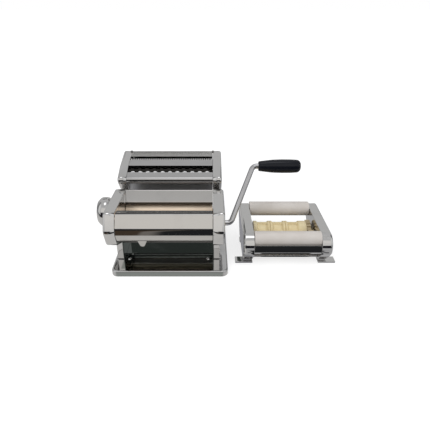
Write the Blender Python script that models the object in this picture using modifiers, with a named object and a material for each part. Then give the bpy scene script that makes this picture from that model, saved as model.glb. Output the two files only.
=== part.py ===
"""A hand-cranked pasta machine with its cutter head, crank and a ravioli attachment that stands beside it.

Metres, +Z up. The machine's own frame has x = 0 midway between its side frames, y = 0 just behind the
base's front edge and z = 0 on the table. One empty carries the whole set, so that the origin is the
middle of its footprint.
"""

import math

import bmesh
import bpy
from mathutils import Matrix, Vector


def beyond(start, angle, *lengths):
    """The place at the sum of some lengths from a start, at an angle from +Y towards +Z."""
    length = sum(lengths)
    return start[0] + length * math.cos(angle), start[1] + length * math.sin(angle)


# Clearances and cuts
GAP = 0.0003
PLAY = 0.0004
OVERRUN = 0.003
MERGE = 0.00001

# Widths of the machine, from its middle outwards
CLEAR_WIDTH = 0.150
FRAME_SHEET = 0.0025
SIDE_DEPTH = 0.018
COVER_SHEET = 0.0012
SHELL_WALL = 0.0014
RIM_ROUND = 0.0055

# Base
BASE_WIDTH = 0.191
BASE_FRONT_Y = -0.009
BASE_REAR_Y = 0.166
BASE_TOP = 0.011
BASE_SKIRT_BOTTOM = 0.0012
BASE_OFFSET_X = 0.004
BASE_SHEET = 0.0015
BASE_CORNER_ROUND = 0.011
BASE_EDGE_ROUND = 0.003
FOOT_RADIUS = 0.009
FOOT_INSET = 0.018

# Side housing outline: place in y and z, then the corner's radius
HOUSING_TOP_FRONT = (-0.006, 0.1165, 0.0065)
HOUSING_BELLY_TOP = (-0.0190, 0.0940, 0.0110)
HOUSING_BELLY_BOTTOM = (-0.0190, 0.0820, 0.0110)
HOUSING_BOTTOM_FRONT = (-0.010, 0.0620, 0.0065)
HOUSING_KNEE = (0.024, 0.0460, 0.0120)
HOUSING_BOTTOM_REAR = (0.1008, 0.0460, 0.0090)
HOUSING_REAR = (0.1008, 0.0920, 0.0080)
HOUSING_TOP_REAR = (0.0885, 0.1145, 0.0065)

# Leg below the housing
LEG_FRONT_Y = 0.028
LEG_REAR_Y = 0.086
LEG_FLANGE_REACH = 0.0085
LEG_FLANGE_SHEET = 0.002
LEG_FOOT_REACH = 0.0105

# Front cover, feed cover and front guide, as sheet profiles in y and z
COVER_SET_BACK = 0.0012
COVER_LIP_DEPTH = 0.005
COVER_LIP_DROP = 0.0025
COVER_BOTTOM_Z = 0.0700
COVER_BOTTOM_Y = -0.0110
COVER_RETURN = 0.006
COVER_BEND = 0.004
TAB_CENTRE_X = -0.036
TAB_TOP_WIDTH = 0.0175
TAB_TIP_WIDTH = 0.0058
TAB_DROP = 0.012
TAB_SET_BACK = 0.0042
FEED_TOP = (0.0865, 0.1130)
FEED_LOW = (0.0700, 0.0975)
FEED_REAR_DROP = 0.010
FEED_LIP_DROP = 0.003
GUIDE_LOW = (0.0415, 0.0835)
GUIDE_DROP_FROM_LIP = 0.0035

# Rollers of the machine
ROLLER_RADIUS = 0.0145
FRONT_ROLLER_AT = (0.051, 0.068)
REAR_ROLLER_AT = (0.080, 0.0745)
ROLLER_END_PLAY = 0.0006
JOURNAL_RADIUS = 0.005
DRIVE_JOURNAL_RADIUS = 0.0075
SOCKET_RADIUS = 0.0049
SOCKET_DEPTH = 0.020
GEAR_WIDTH = 0.006
GEAR_FROM_FRAME = 0.0012
GEAR_TEETH = 18
BUSH_WALL = 0.0018
ROLLER_OPENING = 0.0025
BLOCK_HALF_LENGTH = 0.009
BLOCK_HALF_HEIGHT = 0.0075

# Thickness cam and knob
CAM_LOW_RADIUS = 0.0050
CAM_TURN = math.radians(320)
CAM_DWELL = math.radians(28)
CAM_WIDTH = 0.004
CAM_FROM_FRAME = 0.0048
CAM_LUG_HALF_HEIGHT = 0.0028
CAM_SHAFT_RADIUS = 0.004
KNOB_RADIUS = 0.0255
KNOB_REACH = 0.0295
KNOB_HUB_RADIUS = 0.0125
KNOB_HUB_LENGTH = 0.0045
KNOB_ROUND = 0.006
KNOB_INNER_ROUND = 0.008
KNOB_TRAVEL = 0.004
KNOB_SHAFT_GRIP = 0.014

# Scrapers and tie rods of the machine
SCRAPER_SHEET = 0.0010
SCRAPER_SLOPE = math.radians(62)
SCRAPER_LENGTH = 0.018
TIE_ROD_RADIUS = 0.004
LOW_TIE_AT = (0.062, 0.030)
FRONT_TIE_AT = (0.004, 0.080)

# Crank
CRANK_ROD_RADIUS = 0.0045
CRANK_RADIUS = 0.098
CRANK_START_ANGLE = math.radians(55)
CRANK_SOCKET_ENTRY = 0.017
CRANK_FIRST_BEND_X = 0.1052
CRANK_SECOND_BEND_X = 0.1436
CRANK_BEND_RADIUS = 0.010
GRIP_FROM_BEND = 0.0094
GRIP_LENGTH = 0.072
GRIP_RADIUS = 0.0117
GRIP_NECK_RADIUS = 0.0083
GRIP_END_WALL = 0.004
GRIP_SHOULDER_SHARE = 0.42
GRIP_WAIST_SHARE = 0.12
CRANK_HOLE_RADIUS = 0.0062

# Cutter head: its place behind and above the housings, given for the front wide cutter's axis
HEAD_BEHIND = 0.0186
HEAD_RISE = 0.0068

# Cutter head outline: place in y and z from the front wide cutter's axis, then the corner's radius
HEAD_NOSE = (-0.0212, -0.0008, 0.0065)
HEAD_BROW = (-0.0204, 0.0072, 0.0070)
HEAD_FOLD = (0.0101, 0.0197, 0.0090)
HEAD_TOP_REAR = (0.0606, 0.0307, 0.0070)
HEAD_REAR_REACH = 0.0671
HEAD_REAR_TOP_RISE = 0.0227
HEAD_REAR_LOW_RISE = 0.0007
HEAD_REAR_LOW_ROUND = 0.0090
HEAD_BOTTOM_DROP = 0.0313
HEAD_BOTTOM_REAR_REACH = 0.0306
HEAD_BOTTOM_REAR_ROUND = 0.0110
HEAD_BOTTOM_FRONT_REACH = 0.0031
HEAD_CORNER = 0.0065
HEAD_SIDE_DEPTH = 0.0155
HEAD_INNER_SHEET = 0.002
HEAD_SHEET_DROP = 0.0012

# Cutters. Each one's place follows from the one before it, a direction and a clearance
WIDE_SLOPE = math.radians(22.8)
MIDDLE_SLOPE = math.radians(6.3)
FINE_SLOPE = math.radians(11.8)
WIDE_MESH_GAP = 0.0009
CUTTER_GAP = 0.0007
FINE_MESH_GAP = 0.0005
WIDE_RING_RADIUS = 0.0086
WIDE_GROOVE_RADIUS = 0.0070
WIDE_PITCH = 0.013
WIDE_RING_WIDTH = 0.0062
WIDE_SHIFT_SHARE = 0.25
FINE_RADIUS = 0.0071
CUTTER_JOURNAL_RADIUS = 0.0035
CUTTER_DRIVE_RADIUS = 0.0060
CUTTER_TEETH = 12
WIDE_GEAR_FROM_PLATE = 0.0010
FINE_GEAR_FROM_PLATE = 0.0062
CUTTER_GEAR_WIDTH = 0.0045
WIDE_SLOT_WIDTH = 0.0167
FINE_SLOT_WIDTH = 0.0096
COMB_SHEET = 0.0010
WIDE_COMB_CLEARANCE = 0.0028
FINE_COMB_CLEARANCE = 0.0059
WIDE_COMB_REACH = 0.0030
WIDE_COMB_ROOT = 0.0080
WIDE_TOOTH_SHARE = 0.62
FINE_PITCH = 0.004
FINE_COMB_REACH = 0.0040
FINE_COMB_ROOT = 0.0060
FINE_TOOTH_SHARE = 0.55
HEAD_TIE_DROP = 0.0153
HEAD_TIE_REACH = 0.0286

# Rails that carry the cutter head
RAIL_SHORT_OF_HEAD = 0.0029
RAIL_HEIGHT = 0.012
RAIL_WIDTH = 0.012

# Ravioli attachment
RAVIOLI_X = 0.1995
RAVIOLI_CLEAR_WIDTH = 0.112
RAVIOLI_SIDE_DEPTH = 0.018
RAVIOLI_SHEET = 0.0020
RAVIOLI_RIM_ROUND = 0.0045
RAVIOLI_TOP_ABOVE_GUIDE = 0.0055
RAVIOLI_REAR_BEHIND_GUIDE = 0.0160
RAVIOLI_REAR_DROP = 0.0160
RAVIOLI_FRONT_BEFORE_GUIDE = 0.0175
RAVIOLI_CHIN_DROP = 0.0201
RAVIOLI_CHIN_ROUND = 0.01175
RAVIOLI_BROW_RADIUS = 0.0221
RAVIOLI_BOTTOM_UNDER_MOULD = 0.0190
RAVIOLI_BOTTOM_FRONT_REACH = 0.0270
RAVIOLI_BOTTOM_REAR_REACH = 0.0150
RAVIOLI_CORNER = 0.0065
RAVIOLI_POST_LENGTH = 0.0070
RAVIOLI_FOOT_REACH = 0.0085
RAVIOLI_FOOT_FLARE = 0.012
RAVIOLI_FOOT_SHEET = 0.0030
GUIDE_ROLLER_RADIUS = 0.0132
GUIDE_FRONT_ANGLE = math.radians(141.3)
GUIDE_FRONT_GAP = 0.0032
GUIDE_REAR_ANGLE = math.radians(33.7)
GUIDE_REAR_GAP = 0.0155
GUIDE_JOURNAL_RADIUS = 0.0025
GUIDE_END_PLAY = 0.0007
MOULD_RADIUS = 0.0182
MOULD_CELL_RADIUS = 0.0160
MOULD_FRONT_AT = (0.060, 0.026)
MOULD_GAP = 0.0006
MOULD_PITCH = 0.0282
MOULD_CELL_WIDTH = 0.0200
MOULD_GROOVE_WIDTH = 0.0012
MOULD_CELLS = 3
MOULD_LEFT_PLAY = 0.0052
MOULD_LENGTH = 0.0950
MOULD_GEAR_WIDTH = 0.0080
MOULD_TEETH = 16
MOULD_JOURNAL_RADIUS = 0.0065
MOULD_SOCKET_DEPTH = 0.014
GUARD_SHEET = 0.0012
GUARD_TOP = (-0.0160, -0.0035)
GUARD_BEND = (-0.0154, -0.0186)
GUARD_LIP = (-0.0125, -0.0214)
TIE_BAR_RADIUS = 0.003
TIE_BAR_ANGLE = math.radians(218.5)
TIE_BAR_GAP = 0.0043

# Steps of round shapes
ARC_STEPS = 3
RIM_STEPS = 2
ROLLER_STEPS = 24
KNOB_STEPS = 24
MOULD_STEPS = 16
CUTTER_STEPS = 12
SHAFT_STEPS = 12
HOLE_STEPS = 12
CRANK_ROD_STEPS = 3
CAM_STEPS = 18
HOLE_TURN = math.radians(5)
PRESSURE_ANGLE = math.radians(20)
ADDENDUM_SHARE = 0.75
DEDENDUM_SHARE = 1.15
TOOTH_SHARE = 0.86
CREASE_ANGLE = math.radians(28)
CORNER_ANGLE = math.radians(57)
FLAT_ANGLE = math.radians(1)

# Places that follow from the sizes above
HALF_CLEAR = CLEAR_WIDTH / 2
HALF_WIDTH = HALF_CLEAR + SIDE_DEPTH
HEAD_HALF_WIDTH = HALF_CLEAR + HEAD_SIDE_DEPTH
COVER_HALF = HALF_CLEAR - PLAY
FRAME_OUTER = HALF_CLEAR + FRAME_SHEET
RAVIOLI_HALF_CLEAR = RAVIOLI_CLEAR_WIDTH / 2
RAVIOLI_HALF_WIDTH = RAVIOLI_HALF_CLEAR + RAVIOLI_SIDE_DEPTH
GRIP_START_X = CRANK_SECOND_BEND_X + GRIP_FROM_BEND
WIDE_FRONT_AT = (HOUSING_REAR[0] + HEAD_BEHIND, HOUSING_TOP_REAR[1] + HEAD_RISE)
WIDE_REAR_AT = beyond(WIDE_FRONT_AT, WIDE_SLOPE, WIDE_RING_RADIUS, WIDE_GROOVE_RADIUS, WIDE_MESH_GAP)
FINE_FRONT_AT = beyond(WIDE_REAR_AT, MIDDLE_SLOPE, WIDE_RING_RADIUS, FINE_RADIUS, CUTTER_GAP)
FINE_REAR_AT = beyond(FINE_FRONT_AT, FINE_SLOPE, FINE_RADIUS, FINE_RADIUS, FINE_MESH_GAP)
HEAD_TIE_AT = (WIDE_FRONT_AT[0] + HEAD_TIE_REACH, WIDE_FRONT_AT[1] - HEAD_TIE_DROP)
HEAD_BOTTOM_Z = WIDE_FRONT_AT[1] - HEAD_BOTTOM_DROP
MOULD_REAR_AT = (MOULD_FRONT_AT[0] + 2 * MOULD_RADIUS + MOULD_GAP, MOULD_FRONT_AT[1])
GUIDE_REACH = MOULD_RADIUS + GUIDE_ROLLER_RADIUS
GUIDE_FRONT_AT = beyond(MOULD_FRONT_AT, GUIDE_FRONT_ANGLE, GUIDE_REACH, GUIDE_FRONT_GAP)
GUIDE_REAR_AT = beyond(MOULD_REAR_AT, GUIDE_REAR_ANGLE, GUIDE_REACH, GUIDE_REAR_GAP)
TIE_BAR_AT = beyond(MOULD_FRONT_AT, TIE_BAR_ANGLE, MOULD_RADIUS, TIE_BAR_RADIUS, TIE_BAR_GAP)
RAVIOLI_TOP_Z = GUIDE_REAR_AT[1] + RAVIOLI_TOP_ABOVE_GUIDE
RAVIOLI_REAR_Y = GUIDE_REAR_AT[0] + RAVIOLI_REAR_BEHIND_GUIDE
RAVIOLI_BOTTOM_Z = MOULD_FRONT_AT[1] - RAVIOLI_BOTTOM_UNDER_MOULD
RAVIOLI_BOTTOM_FRONT_Y = MOULD_FRONT_AT[0] - RAVIOLI_BOTTOM_FRONT_REACH
RAVIOLI_BOTTOM_REAR_Y = MOULD_REAR_AT[0] + RAVIOLI_BOTTOM_REAR_REACH
SET_LEFT = -HALF_WIDTH - KNOB_REACH
SET_RIGHT = RAVIOLI_X + RAVIOLI_HALF_WIDTH + RAVIOLI_FOOT_FLARE
SET_FRONT = HOUSING_BELLY_TOP[0]
SET_REAR = WIDE_FRONT_AT[0] + HEAD_REAR_REACH
SIDES = (("left", -1), ("right", 1))

# Materials: colour, roughness, metallic
FINISHES = {
    "mirror_steel": ((0.52, 0.51, 0.50), 0.10, 1.0),
    "satin_steel": ((0.48, 0.47, 0.45), 0.28, 1.0),
    "roller_steel": ((0.55, 0.50, 0.43), 0.22, 1.0),
    "gear_steel": ((0.30, 0.30, 0.30), 0.40, 1.0),
    "brass": ((0.60, 0.45, 0.20), 0.35, 1.0),
    "black_plastic": ((0.012, 0.013, 0.018), 0.22, 0.0),
    "white_plastic": ((0.68, 0.65, 0.60), 0.42, 0.0),
    "cream_plastic": ((0.69, 0.60, 0.38), 0.45, 0.0),
    "rubber": ((0.02, 0.02, 0.02), 0.80, 0.0),
}


def clear_scene():
    """Remove every object, so that the model stands alone."""
    for old in list(bpy.data.objects):
        bpy.data.objects.remove(old, do_unlink=True)


def new_collection(name):
    """A collection of the given name, linked to the scene."""
    collection = bpy.data.collections.new(name)
    bpy.context.scene.collection.children.link(collection)
    return collection


def make_materials():
    """One Principled BSDF material for each finish."""
    made = {}
    for name, (colour, roughness, metallic) in FINISHES.items():
        material = bpy.data.materials.new(name)
        material.use_nodes = True
        shader = material.node_tree.nodes["Principled BSDF"]
        shader.inputs["Base Color"].default_value = (*colour, 1.0)
        shader.inputs["Roughness"].default_value = roughness
        shader.inputs["Metallic"].default_value = metallic
        made[name] = material
    return made


def own_material(name, finish):
    """A copy of a finish that belongs to one piece."""
    material = MATERIALS[finish].copy()
    material.name = name + "_" + finish
    return material


def group(name, location, parent=None):
    """An empty that carries a body's pieces."""
    empty = bpy.data.objects.new(name, None)
    PARTS.objects.link(empty)
    empty.location = location
    empty.parent = parent
    return empty


def place(name, mesh, finish, parent, location=(0, 0, 0), rotation=(0, 0, 0)):
    """A mesh as one named piece of the model."""
    piece = bpy.data.objects.new(name, mesh)
    PARTS.objects.link(piece)
    piece.parent = parent
    piece.location = location
    piece.rotation_euler = rotation
    mesh.materials.clear()
    mesh.materials.append(own_material(name, finish))
    mesh.shade_smooth()
    mesh.set_sharp_from_angle(angle=CREASE_ANGLE)
    return piece


def tool(piece, mesh, operation, location=(0, 0, 0), rotation=(0, 0, 0)):
    """Cut a mesh from a piece, or join it on, with a Boolean modifier."""
    cutter = bpy.data.objects.new(piece.name + "_tool", mesh)
    CUTTERS.objects.link(cutter)
    cutter.parent = piece.parent
    cutter.location = location
    cutter.rotation_euler = rotation
    cutter.hide_render = True
    cutter.display_type = "WIRE"
    modifier = piece.modifiers.new(operation.lower(), "BOOLEAN")
    modifier.object = cutter
    modifier.operation = operation
    modifier.solver = "EXACT"
    return cutter


def bmesh_to_mesh(name, bm):
    """Write a bmesh to a new mesh and free it."""
    bmesh.ops.recalc_face_normals(bm, faces=bm.faces)
    mesh = bpy.data.meshes.new(name)
    bm.to_mesh(mesh)
    bm.free()
    return mesh


def box_mesh(name, low, high):
    """A box between two corners."""
    low = Vector(low)
    high = Vector(high)
    bm = bmesh.new()
    bmesh.ops.create_cube(bm, size=1)
    bmesh.ops.scale(bm, vec=high - low, verts=bm.verts)
    bmesh.ops.translate(bm, vec=(low + high) / 2, verts=bm.verts)
    return bmesh_to_mesh(name, bm)


def rod_mesh(name, radius, start_x, end_x, steps=SHAFT_STEPS):
    """A cylinder along X."""
    bm = bmesh.new()
    depth = end_x - start_x
    bmesh.ops.create_cone(bm, cap_ends=True, segments=steps, radius1=radius, radius2=radius, depth=depth)
    bmesh.ops.rotate(bm, cent=(0, 0, 0), matrix=Matrix.Rotation(math.pi / 2, 3, "Y"), verts=bm.verts)
    bmesh.ops.translate(bm, vec=((start_x + end_x) / 2, 0, 0), verts=bm.verts)
    return bmesh_to_mesh(name, bm)


def arc_between(centre, start, end, steps):
    """Points on the arc about a centre from one offset to another."""
    angle = start.angle(end)
    points = []
    for step in range(steps + 1):
        share = step / steps
        first = start * math.sin((1 - share) * angle)
        second = end * math.sin(share * angle)
        points.append(centre + (first + second) / math.sin(angle))
    return points


def round_corner(corner, before, after, radius, steps):
    """The arc that rounds one corner between its two neighbours."""
    back = (before - corner).normalized()
    ahead = (after - corner).normalized()
    half_angle = back.angle(ahead) / 2
    reach = radius / math.tan(half_angle)
    centre = corner + (back + ahead).normalized() * (radius / math.sin(half_angle))
    return arc_between(centre, corner + back * reach - centre, corner + ahead * reach - centre, steps)


def rounded(corners, steps=ARC_STEPS):
    """A closed outline from corners that each carry a radius."""
    points = []
    for index, (across, up, radius) in enumerate(corners):
        corner = Vector((across, up))
        before = Vector(corners[index - 1][:2])
        after = Vector(corners[(index + 1) % len(corners)][:2])
        if radius:
            points.extend(round_corner(corner, before, after, radius, steps))
        else:
            points.append(corner)
    return points


def inset(corners, distance):
    """The same convex outline moved inwards on every side."""
    count = len(corners)
    middle = sum((Vector(corner[:2]) for corner in corners), Vector((0, 0))) / count
    lines = []
    for index in range(count):
        start = Vector(corners[index][:2])
        along = (Vector(corners[(index + 1) % count][:2]) - start).normalized()
        normal = Vector((-along.y, along.x))
        if normal.dot(middle - start) < 0:
            normal.negate()
        lines.append((start + normal * distance, along))
    moved = []
    for index in range(count):
        first, first_along = lines[index - 1]
        second, second_along = lines[index]
        cross = first_along.x * second_along.y - first_along.y * second_along.x
        offset = second - first
        travel = (offset.x * second_along.y - offset.y * second_along.x) / cross
        point = first + first_along * travel
        moved.append((point.x, point.y, max(corners[index][2] - distance, GAP)))
    return moved


def circle(centre, radius, start=0, steps=HOLE_STEPS):
    """A round outline about a centre, with its first point at the start angle."""
    return [
        Vector(centre) + radius * Vector((math.cos(turn), math.sin(turn)))
        for turn in (start + 2 * math.pi * step / steps for step in range(steps))
    ]


def shaft_holes(places):
    """Round holes for shafts. Each starts at its own angle, so that no points line up."""
    return [circle(at, radius, HOLE_TURN * index) for index, (at, radius) in enumerate(places)]


def outline_mesh(name, outlines, thickness):
    """Flat outlines in the local XY plane, filled and given a thickness along Z. Inner outlines are holes."""
    curve = bpy.data.curves.new(name, "CURVE")
    curve.dimensions = "2D"
    curve.fill_mode = "BOTH"
    curve.extrude = thickness / 2
    for points in outlines:
        spline = curve.splines.new("POLY")
        spline.points.add(len(points) - 1)
        for target, point in zip(spline.points, points):
            target.co = (point[0], point[1], 0, 1)
        spline.use_cyclic_u = True
    guide = bpy.data.objects.new(name + "_outline", curve)
    PARTS.objects.link(guide)
    bpy.context.view_layer.update()
    mesh = bpy.data.meshes.new_from_object(guide.evaluated_get(bpy.context.evaluated_depsgraph_get()))
    bpy.data.objects.remove(guide, do_unlink=True)
    bpy.data.curves.remove(curve)
    bm = bmesh.new()
    bm.from_mesh(mesh)
    bpy.data.meshes.remove(mesh)
    bmesh.ops.remove_doubles(bm, verts=bm.verts, dist=MERGE)
    if len(outlines) == 1:
        bmesh.ops.dissolve_limit(bm, angle_limit=FLAT_ANGLE, verts=bm.verts, edges=bm.edges)
    return bmesh_to_mesh(name, bm)


def side_turn():
    """The rotation that lays a local XY outline in the YZ plane, with its thickness along X."""
    return Matrix(((0, 0, 1), (1, 0, 0), (0, 1, 0))).to_euler()


def round_rim(mesh, side, radius):
    """Round the edge of an outline mesh on its outer face."""
    bm = bmesh.new()
    bm.from_mesh(mesh)
    face_height = max(vert.co.z * side for vert in bm.verts)
    rim = [
        edge
        for edge in bm.edges
        if all(abs(vert.co.z * side - face_height) < MERGE for vert in edge.verts)
        and edge.calc_face_angle() > CORNER_ANGLE
    ]
    bmesh.ops.bevel(
        bm, geom=rim, offset=radius, segments=RIM_STEPS, profile=0.5, affect="EDGES", clamp_overlap=True
    )
    bm.to_mesh(mesh)
    bm.free()
    return mesh


def side_plate(name, outlines, inner_x, outer_x, side, finish, parent):
    """A flat plate in the YZ plane between two distances from the middle."""
    mesh = outline_mesh(name, outlines, outer_x - inner_x)
    return place(name, mesh, finish, parent, (side * (inner_x + outer_x) / 2, 0, 0), side_turn())


def side_shell(name, corners, inner_x, outer_x, side, rim_round, finish, parent):
    """A housing that is open towards the middle, with a rounded outer rim."""
    mesh = round_rim(outline_mesh(name, [rounded(corners)], outer_x - inner_x), side, rim_round)
    shell = place(name, mesh, finish, parent, (side * (inner_x + outer_x) / 2, 0, 0), side_turn())
    hollow_inner = inner_x - OVERRUN
    hollow_outer = outer_x - SHELL_WALL
    inside = rounded(inset(corners, SHELL_WALL))
    hollow = outline_mesh(name + "_hollow", [inside], hollow_outer - hollow_inner)
    round_rim(hollow, side, rim_round - SHELL_WALL)
    tool(shell, hollow, "DIFFERENCE", (side * (hollow_inner + hollow_outer) / 2, 0, 0), side_turn())
    return shell


def bore(piece, at, radius, start_x, end_x, steps=HOLE_STEPS):
    """A round hole along X through a piece."""
    mesh = rod_mesh(piece.name + "_bore", radius, start_x, end_x, steps)
    tool(piece, mesh, "DIFFERENCE", (0, at[0], at[1]))


def turned(name, profile, finish, parent, location, steps, closed=False):
    """A shape turned about X. The profile runs from its +X end to its -X end: distance along, radius."""
    bm = bmesh.new()
    verts = [bm.verts.new((radius, 0, along)) for along, radius in profile]
    for first, second in zip(verts, verts[1:]):
        bm.edges.new((first, second))
    if closed:
        bm.edges.new((verts[-1], verts[0]))
    mesh = bpy.data.meshes.new(name)
    bm.to_mesh(mesh)
    bm.free()
    piece = bpy.data.objects.new(name, mesh)
    PARTS.objects.link(piece)
    piece.parent = parent
    piece.location = location
    piece.rotation_euler = (0, math.pi / 2, 0)
    screw = piece.modifiers.new("turn", "SCREW")
    screw.axis = "Z"
    screw.angle = 2 * math.pi
    screw.steps = steps
    screw.render_steps = steps
    screw.use_merge_vertices = True
    screw.merge_threshold = MERGE
    screw.use_smooth_shade = True
    mesh.materials.append(own_material(name, finish))
    return piece


def sheet(name, profile, start_x, end_x, thickness, finish, parent):
    """A bent sheet: a profile in y and z, drawn out along X and given its thickness."""
    bm = bmesh.new()
    verts = [bm.verts.new((start_x, point[0], point[1])) for point in profile]
    edges = [bm.edges.new(pair) for pair in zip(verts, verts[1:])]
    drawn = bmesh.ops.extrude_edge_only(bm, edges=edges)["geom"]
    far = [item for item in drawn if isinstance(item, bmesh.types.BMVert)]
    bmesh.ops.translate(bm, vec=(end_x - start_x, 0, 0), verts=far)
    piece = place(name, bmesh_to_mesh(name, bm), finish, parent)
    solid = piece.modifiers.new("sheet", "SOLIDIFY")
    solid.thickness = thickness
    solid.offset = 0
    solid.use_even_offset = True
    return piece


def bent(points, radius, steps=ARC_STEPS):
    """An open path with its inner corners rounded."""
    path = [Vector(point) for point in points]
    result = [path[0]]
    for before, corner, after in zip(path, path[1:], path[2:]):
        result.extend(round_corner(corner, before, after, radius, steps))
    result.append(path[-1])
    return result


def involute(ratio):
    """The involute function of a radius over the base radius."""
    return math.sqrt(ratio * ratio - 1) - math.acos(1 / ratio)


def gear_outline(teeth, centre_distance, phase):
    """Involute teeth, a little thin, so that a pair runs with play. A tooth points along the phase angle."""
    pitch_radius = centre_distance / 2
    module = centre_distance / teeth
    base_radius = pitch_radius * math.cos(PRESSURE_ANGLE)
    tip_radius = pitch_radius + ADDENDUM_SHARE * module
    root_radius = pitch_radius - DEDENDUM_SHARE * module
    half_tooth = TOOTH_SHARE * math.pi / (2 * teeth)
    pitch_involute = involute(pitch_radius / base_radius)
    flank = [(min(root_radius, base_radius), half_tooth + pitch_involute)]
    for radius in (pitch_radius, tip_radius):
        flank.append((radius, half_tooth + pitch_involute - involute(radius / base_radius)))
    points = []
    for tooth in range(teeth):
        middle = phase + 2 * math.pi * tooth / teeth
        for radius, half in flank:
            points.append(radius * Vector((math.cos(middle - half), math.sin(middle - half))))
        for radius, half in reversed(flank):
            points.append(radius * Vector((math.cos(middle + half), math.sin(middle + half))))
    return points


def mesh_phases(first_at, second_at, teeth):
    """Angles that set a tooth of the first gear in a gap of the second, measured from +Y towards +Z."""
    across = Vector(second_at) - Vector(first_at)
    first = math.atan2(across.y, across.x)
    return first, first + math.pi + math.pi / teeth


def distance(first_at, second_at):
    """The distance between two places in y and z."""
    return (Vector(second_at) - Vector(first_at)).length


def gear(name, teeth, centre_distance, phase, bore_radius, start_x, end_x, parent):
    """A spur gear on a shaft along X. Its empty lies on the shaft's axis."""
    outlines = [gear_outline(teeth, centre_distance, phase), circle((0, 0), bore_radius)]
    mesh = outline_mesh(name, outlines, abs(end_x - start_x))
    return place(name, mesh, "gear_steel", parent, ((start_x + end_x) / 2, 0, 0), side_turn())


def make_base(parent):
    """Base tray with rounded corners and a hollow underside, on four rubber feet."""
    half = BASE_WIDTH / 2
    low = (BASE_OFFSET_X - half, BASE_FRONT_Y, BASE_SKIRT_BOTTOM)
    high = (BASE_OFFSET_X + half, BASE_REAR_Y, BASE_TOP)
    outer = tray_mesh("base_plate", low, high, BASE_CORNER_ROUND, BASE_EDGE_ROUND)
    tray = place("base_plate", outer, "mirror_steel", parent)
    inner_low = (low[0] + BASE_SHEET, BASE_FRONT_Y + BASE_SHEET, BASE_SKIRT_BOTTOM - OVERRUN)
    inner_high = (high[0] - BASE_SHEET, BASE_REAR_Y - BASE_SHEET, BASE_TOP - BASE_SHEET)
    inner_round = BASE_CORNER_ROUND - BASE_SHEET
    inner = tray_mesh("base_plate_hollow", inner_low, inner_high, inner_round, BASE_EDGE_ROUND - BASE_SHEET)
    tool(tray, inner, "DIFFERENCE")
    foot_top = BASE_TOP - BASE_SHEET - GAP
    for row, foot_y in (("front", BASE_FRONT_Y + FOOT_INSET), ("rear", BASE_REAR_Y - FOOT_INSET)):
        for side_name, side in SIDES:
            bm = bmesh.new()
            radii = {"radius1": FOOT_RADIUS, "radius2": FOOT_RADIUS}
            bmesh.ops.create_cone(bm, cap_ends=True, segments=SHAFT_STEPS, depth=foot_top, **radii)
            name = "rubber_foot_" + row + "_" + side_name
            foot_x = BASE_OFFSET_X + side * (half - FOOT_INSET)
            place(name, bmesh_to_mesh(name, bm), "rubber", parent, (foot_x, foot_y, foot_top / 2))


def tray_mesh(name, low, high, corner_round, edge_round):
    """A box with rounded upright corners and a rounded top edge."""
    low = Vector(low)
    high = Vector(high)
    bm = bmesh.new()
    bmesh.ops.create_cube(bm, size=1)
    bmesh.ops.scale(bm, vec=high - low, verts=bm.verts)
    bmesh.ops.translate(bm, vec=(low + high) / 2, verts=bm.verts)
    upright = [edge for edge in bm.edges if abs(edge.verts[0].co.z - edge.verts[1].co.z) > MERGE]
    steps = RIM_STEPS + 1
    bmesh.ops.bevel(bm, geom=upright, offset=corner_round, segments=steps, profile=0.5, affect="EDGES")
    top = [
        edge
        for edge in bm.edges
        if all(abs(vert.co.z - high.z) < MERGE for vert in edge.verts)
        and edge.calc_face_angle() > CORNER_ANGLE
    ]
    bmesh.ops.bevel(bm, geom=top, offset=edge_round, segments=RIM_STEPS, profile=0.5, affect="EDGES")
    return bmesh_to_mesh(name, bm)


def housing_corners():
    """The side housing's outline, anticlockwise from its top front."""
    return [
        HOUSING_TOP_FRONT,
        HOUSING_BELLY_TOP,
        HOUSING_BELLY_BOTTOM,
        HOUSING_BOTTOM_FRONT,
        HOUSING_KNEE,
        HOUSING_BOTTOM_REAR,
        HOUSING_REAR,
        HOUSING_TOP_REAR,
    ]


def frame_outline():
    """The side frame: the housing's outline less its wall, with the leg below it."""
    corners = inset(housing_corners(), SHELL_WALL + GAP)
    front, rear = corners[:5], corners[5:]
    foot_z = BASE_TOP + GAP
    knee = front[-1]
    leg = [
        (LEG_FRONT_Y, knee[1] + GAP, 0),
        (LEG_FRONT_Y, foot_z, 0),
        (LEG_REAR_Y, foot_z, 0),
        (LEG_REAR_Y, knee[1], 0),
    ]
    return rounded(front[:4] + [(knee[0] - FRAME_SHEET, knee[1] + FRAME_SHEET, 0)] + leg + rear)


def slot_outline():
    """The window in which a bearing block slides."""
    y, z = REAR_ROLLER_AT
    low = z - BLOCK_HALF_HEIGHT - PLAY
    high = z + BLOCK_HALF_HEIGHT + PLAY
    front = y - BLOCK_HALF_LENGTH - PLAY
    rear = y + BLOCK_HALF_LENGTH + ROLLER_OPENING + PLAY
    return [(front, low), (rear, low), (rear, high), (front, high)]


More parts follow.
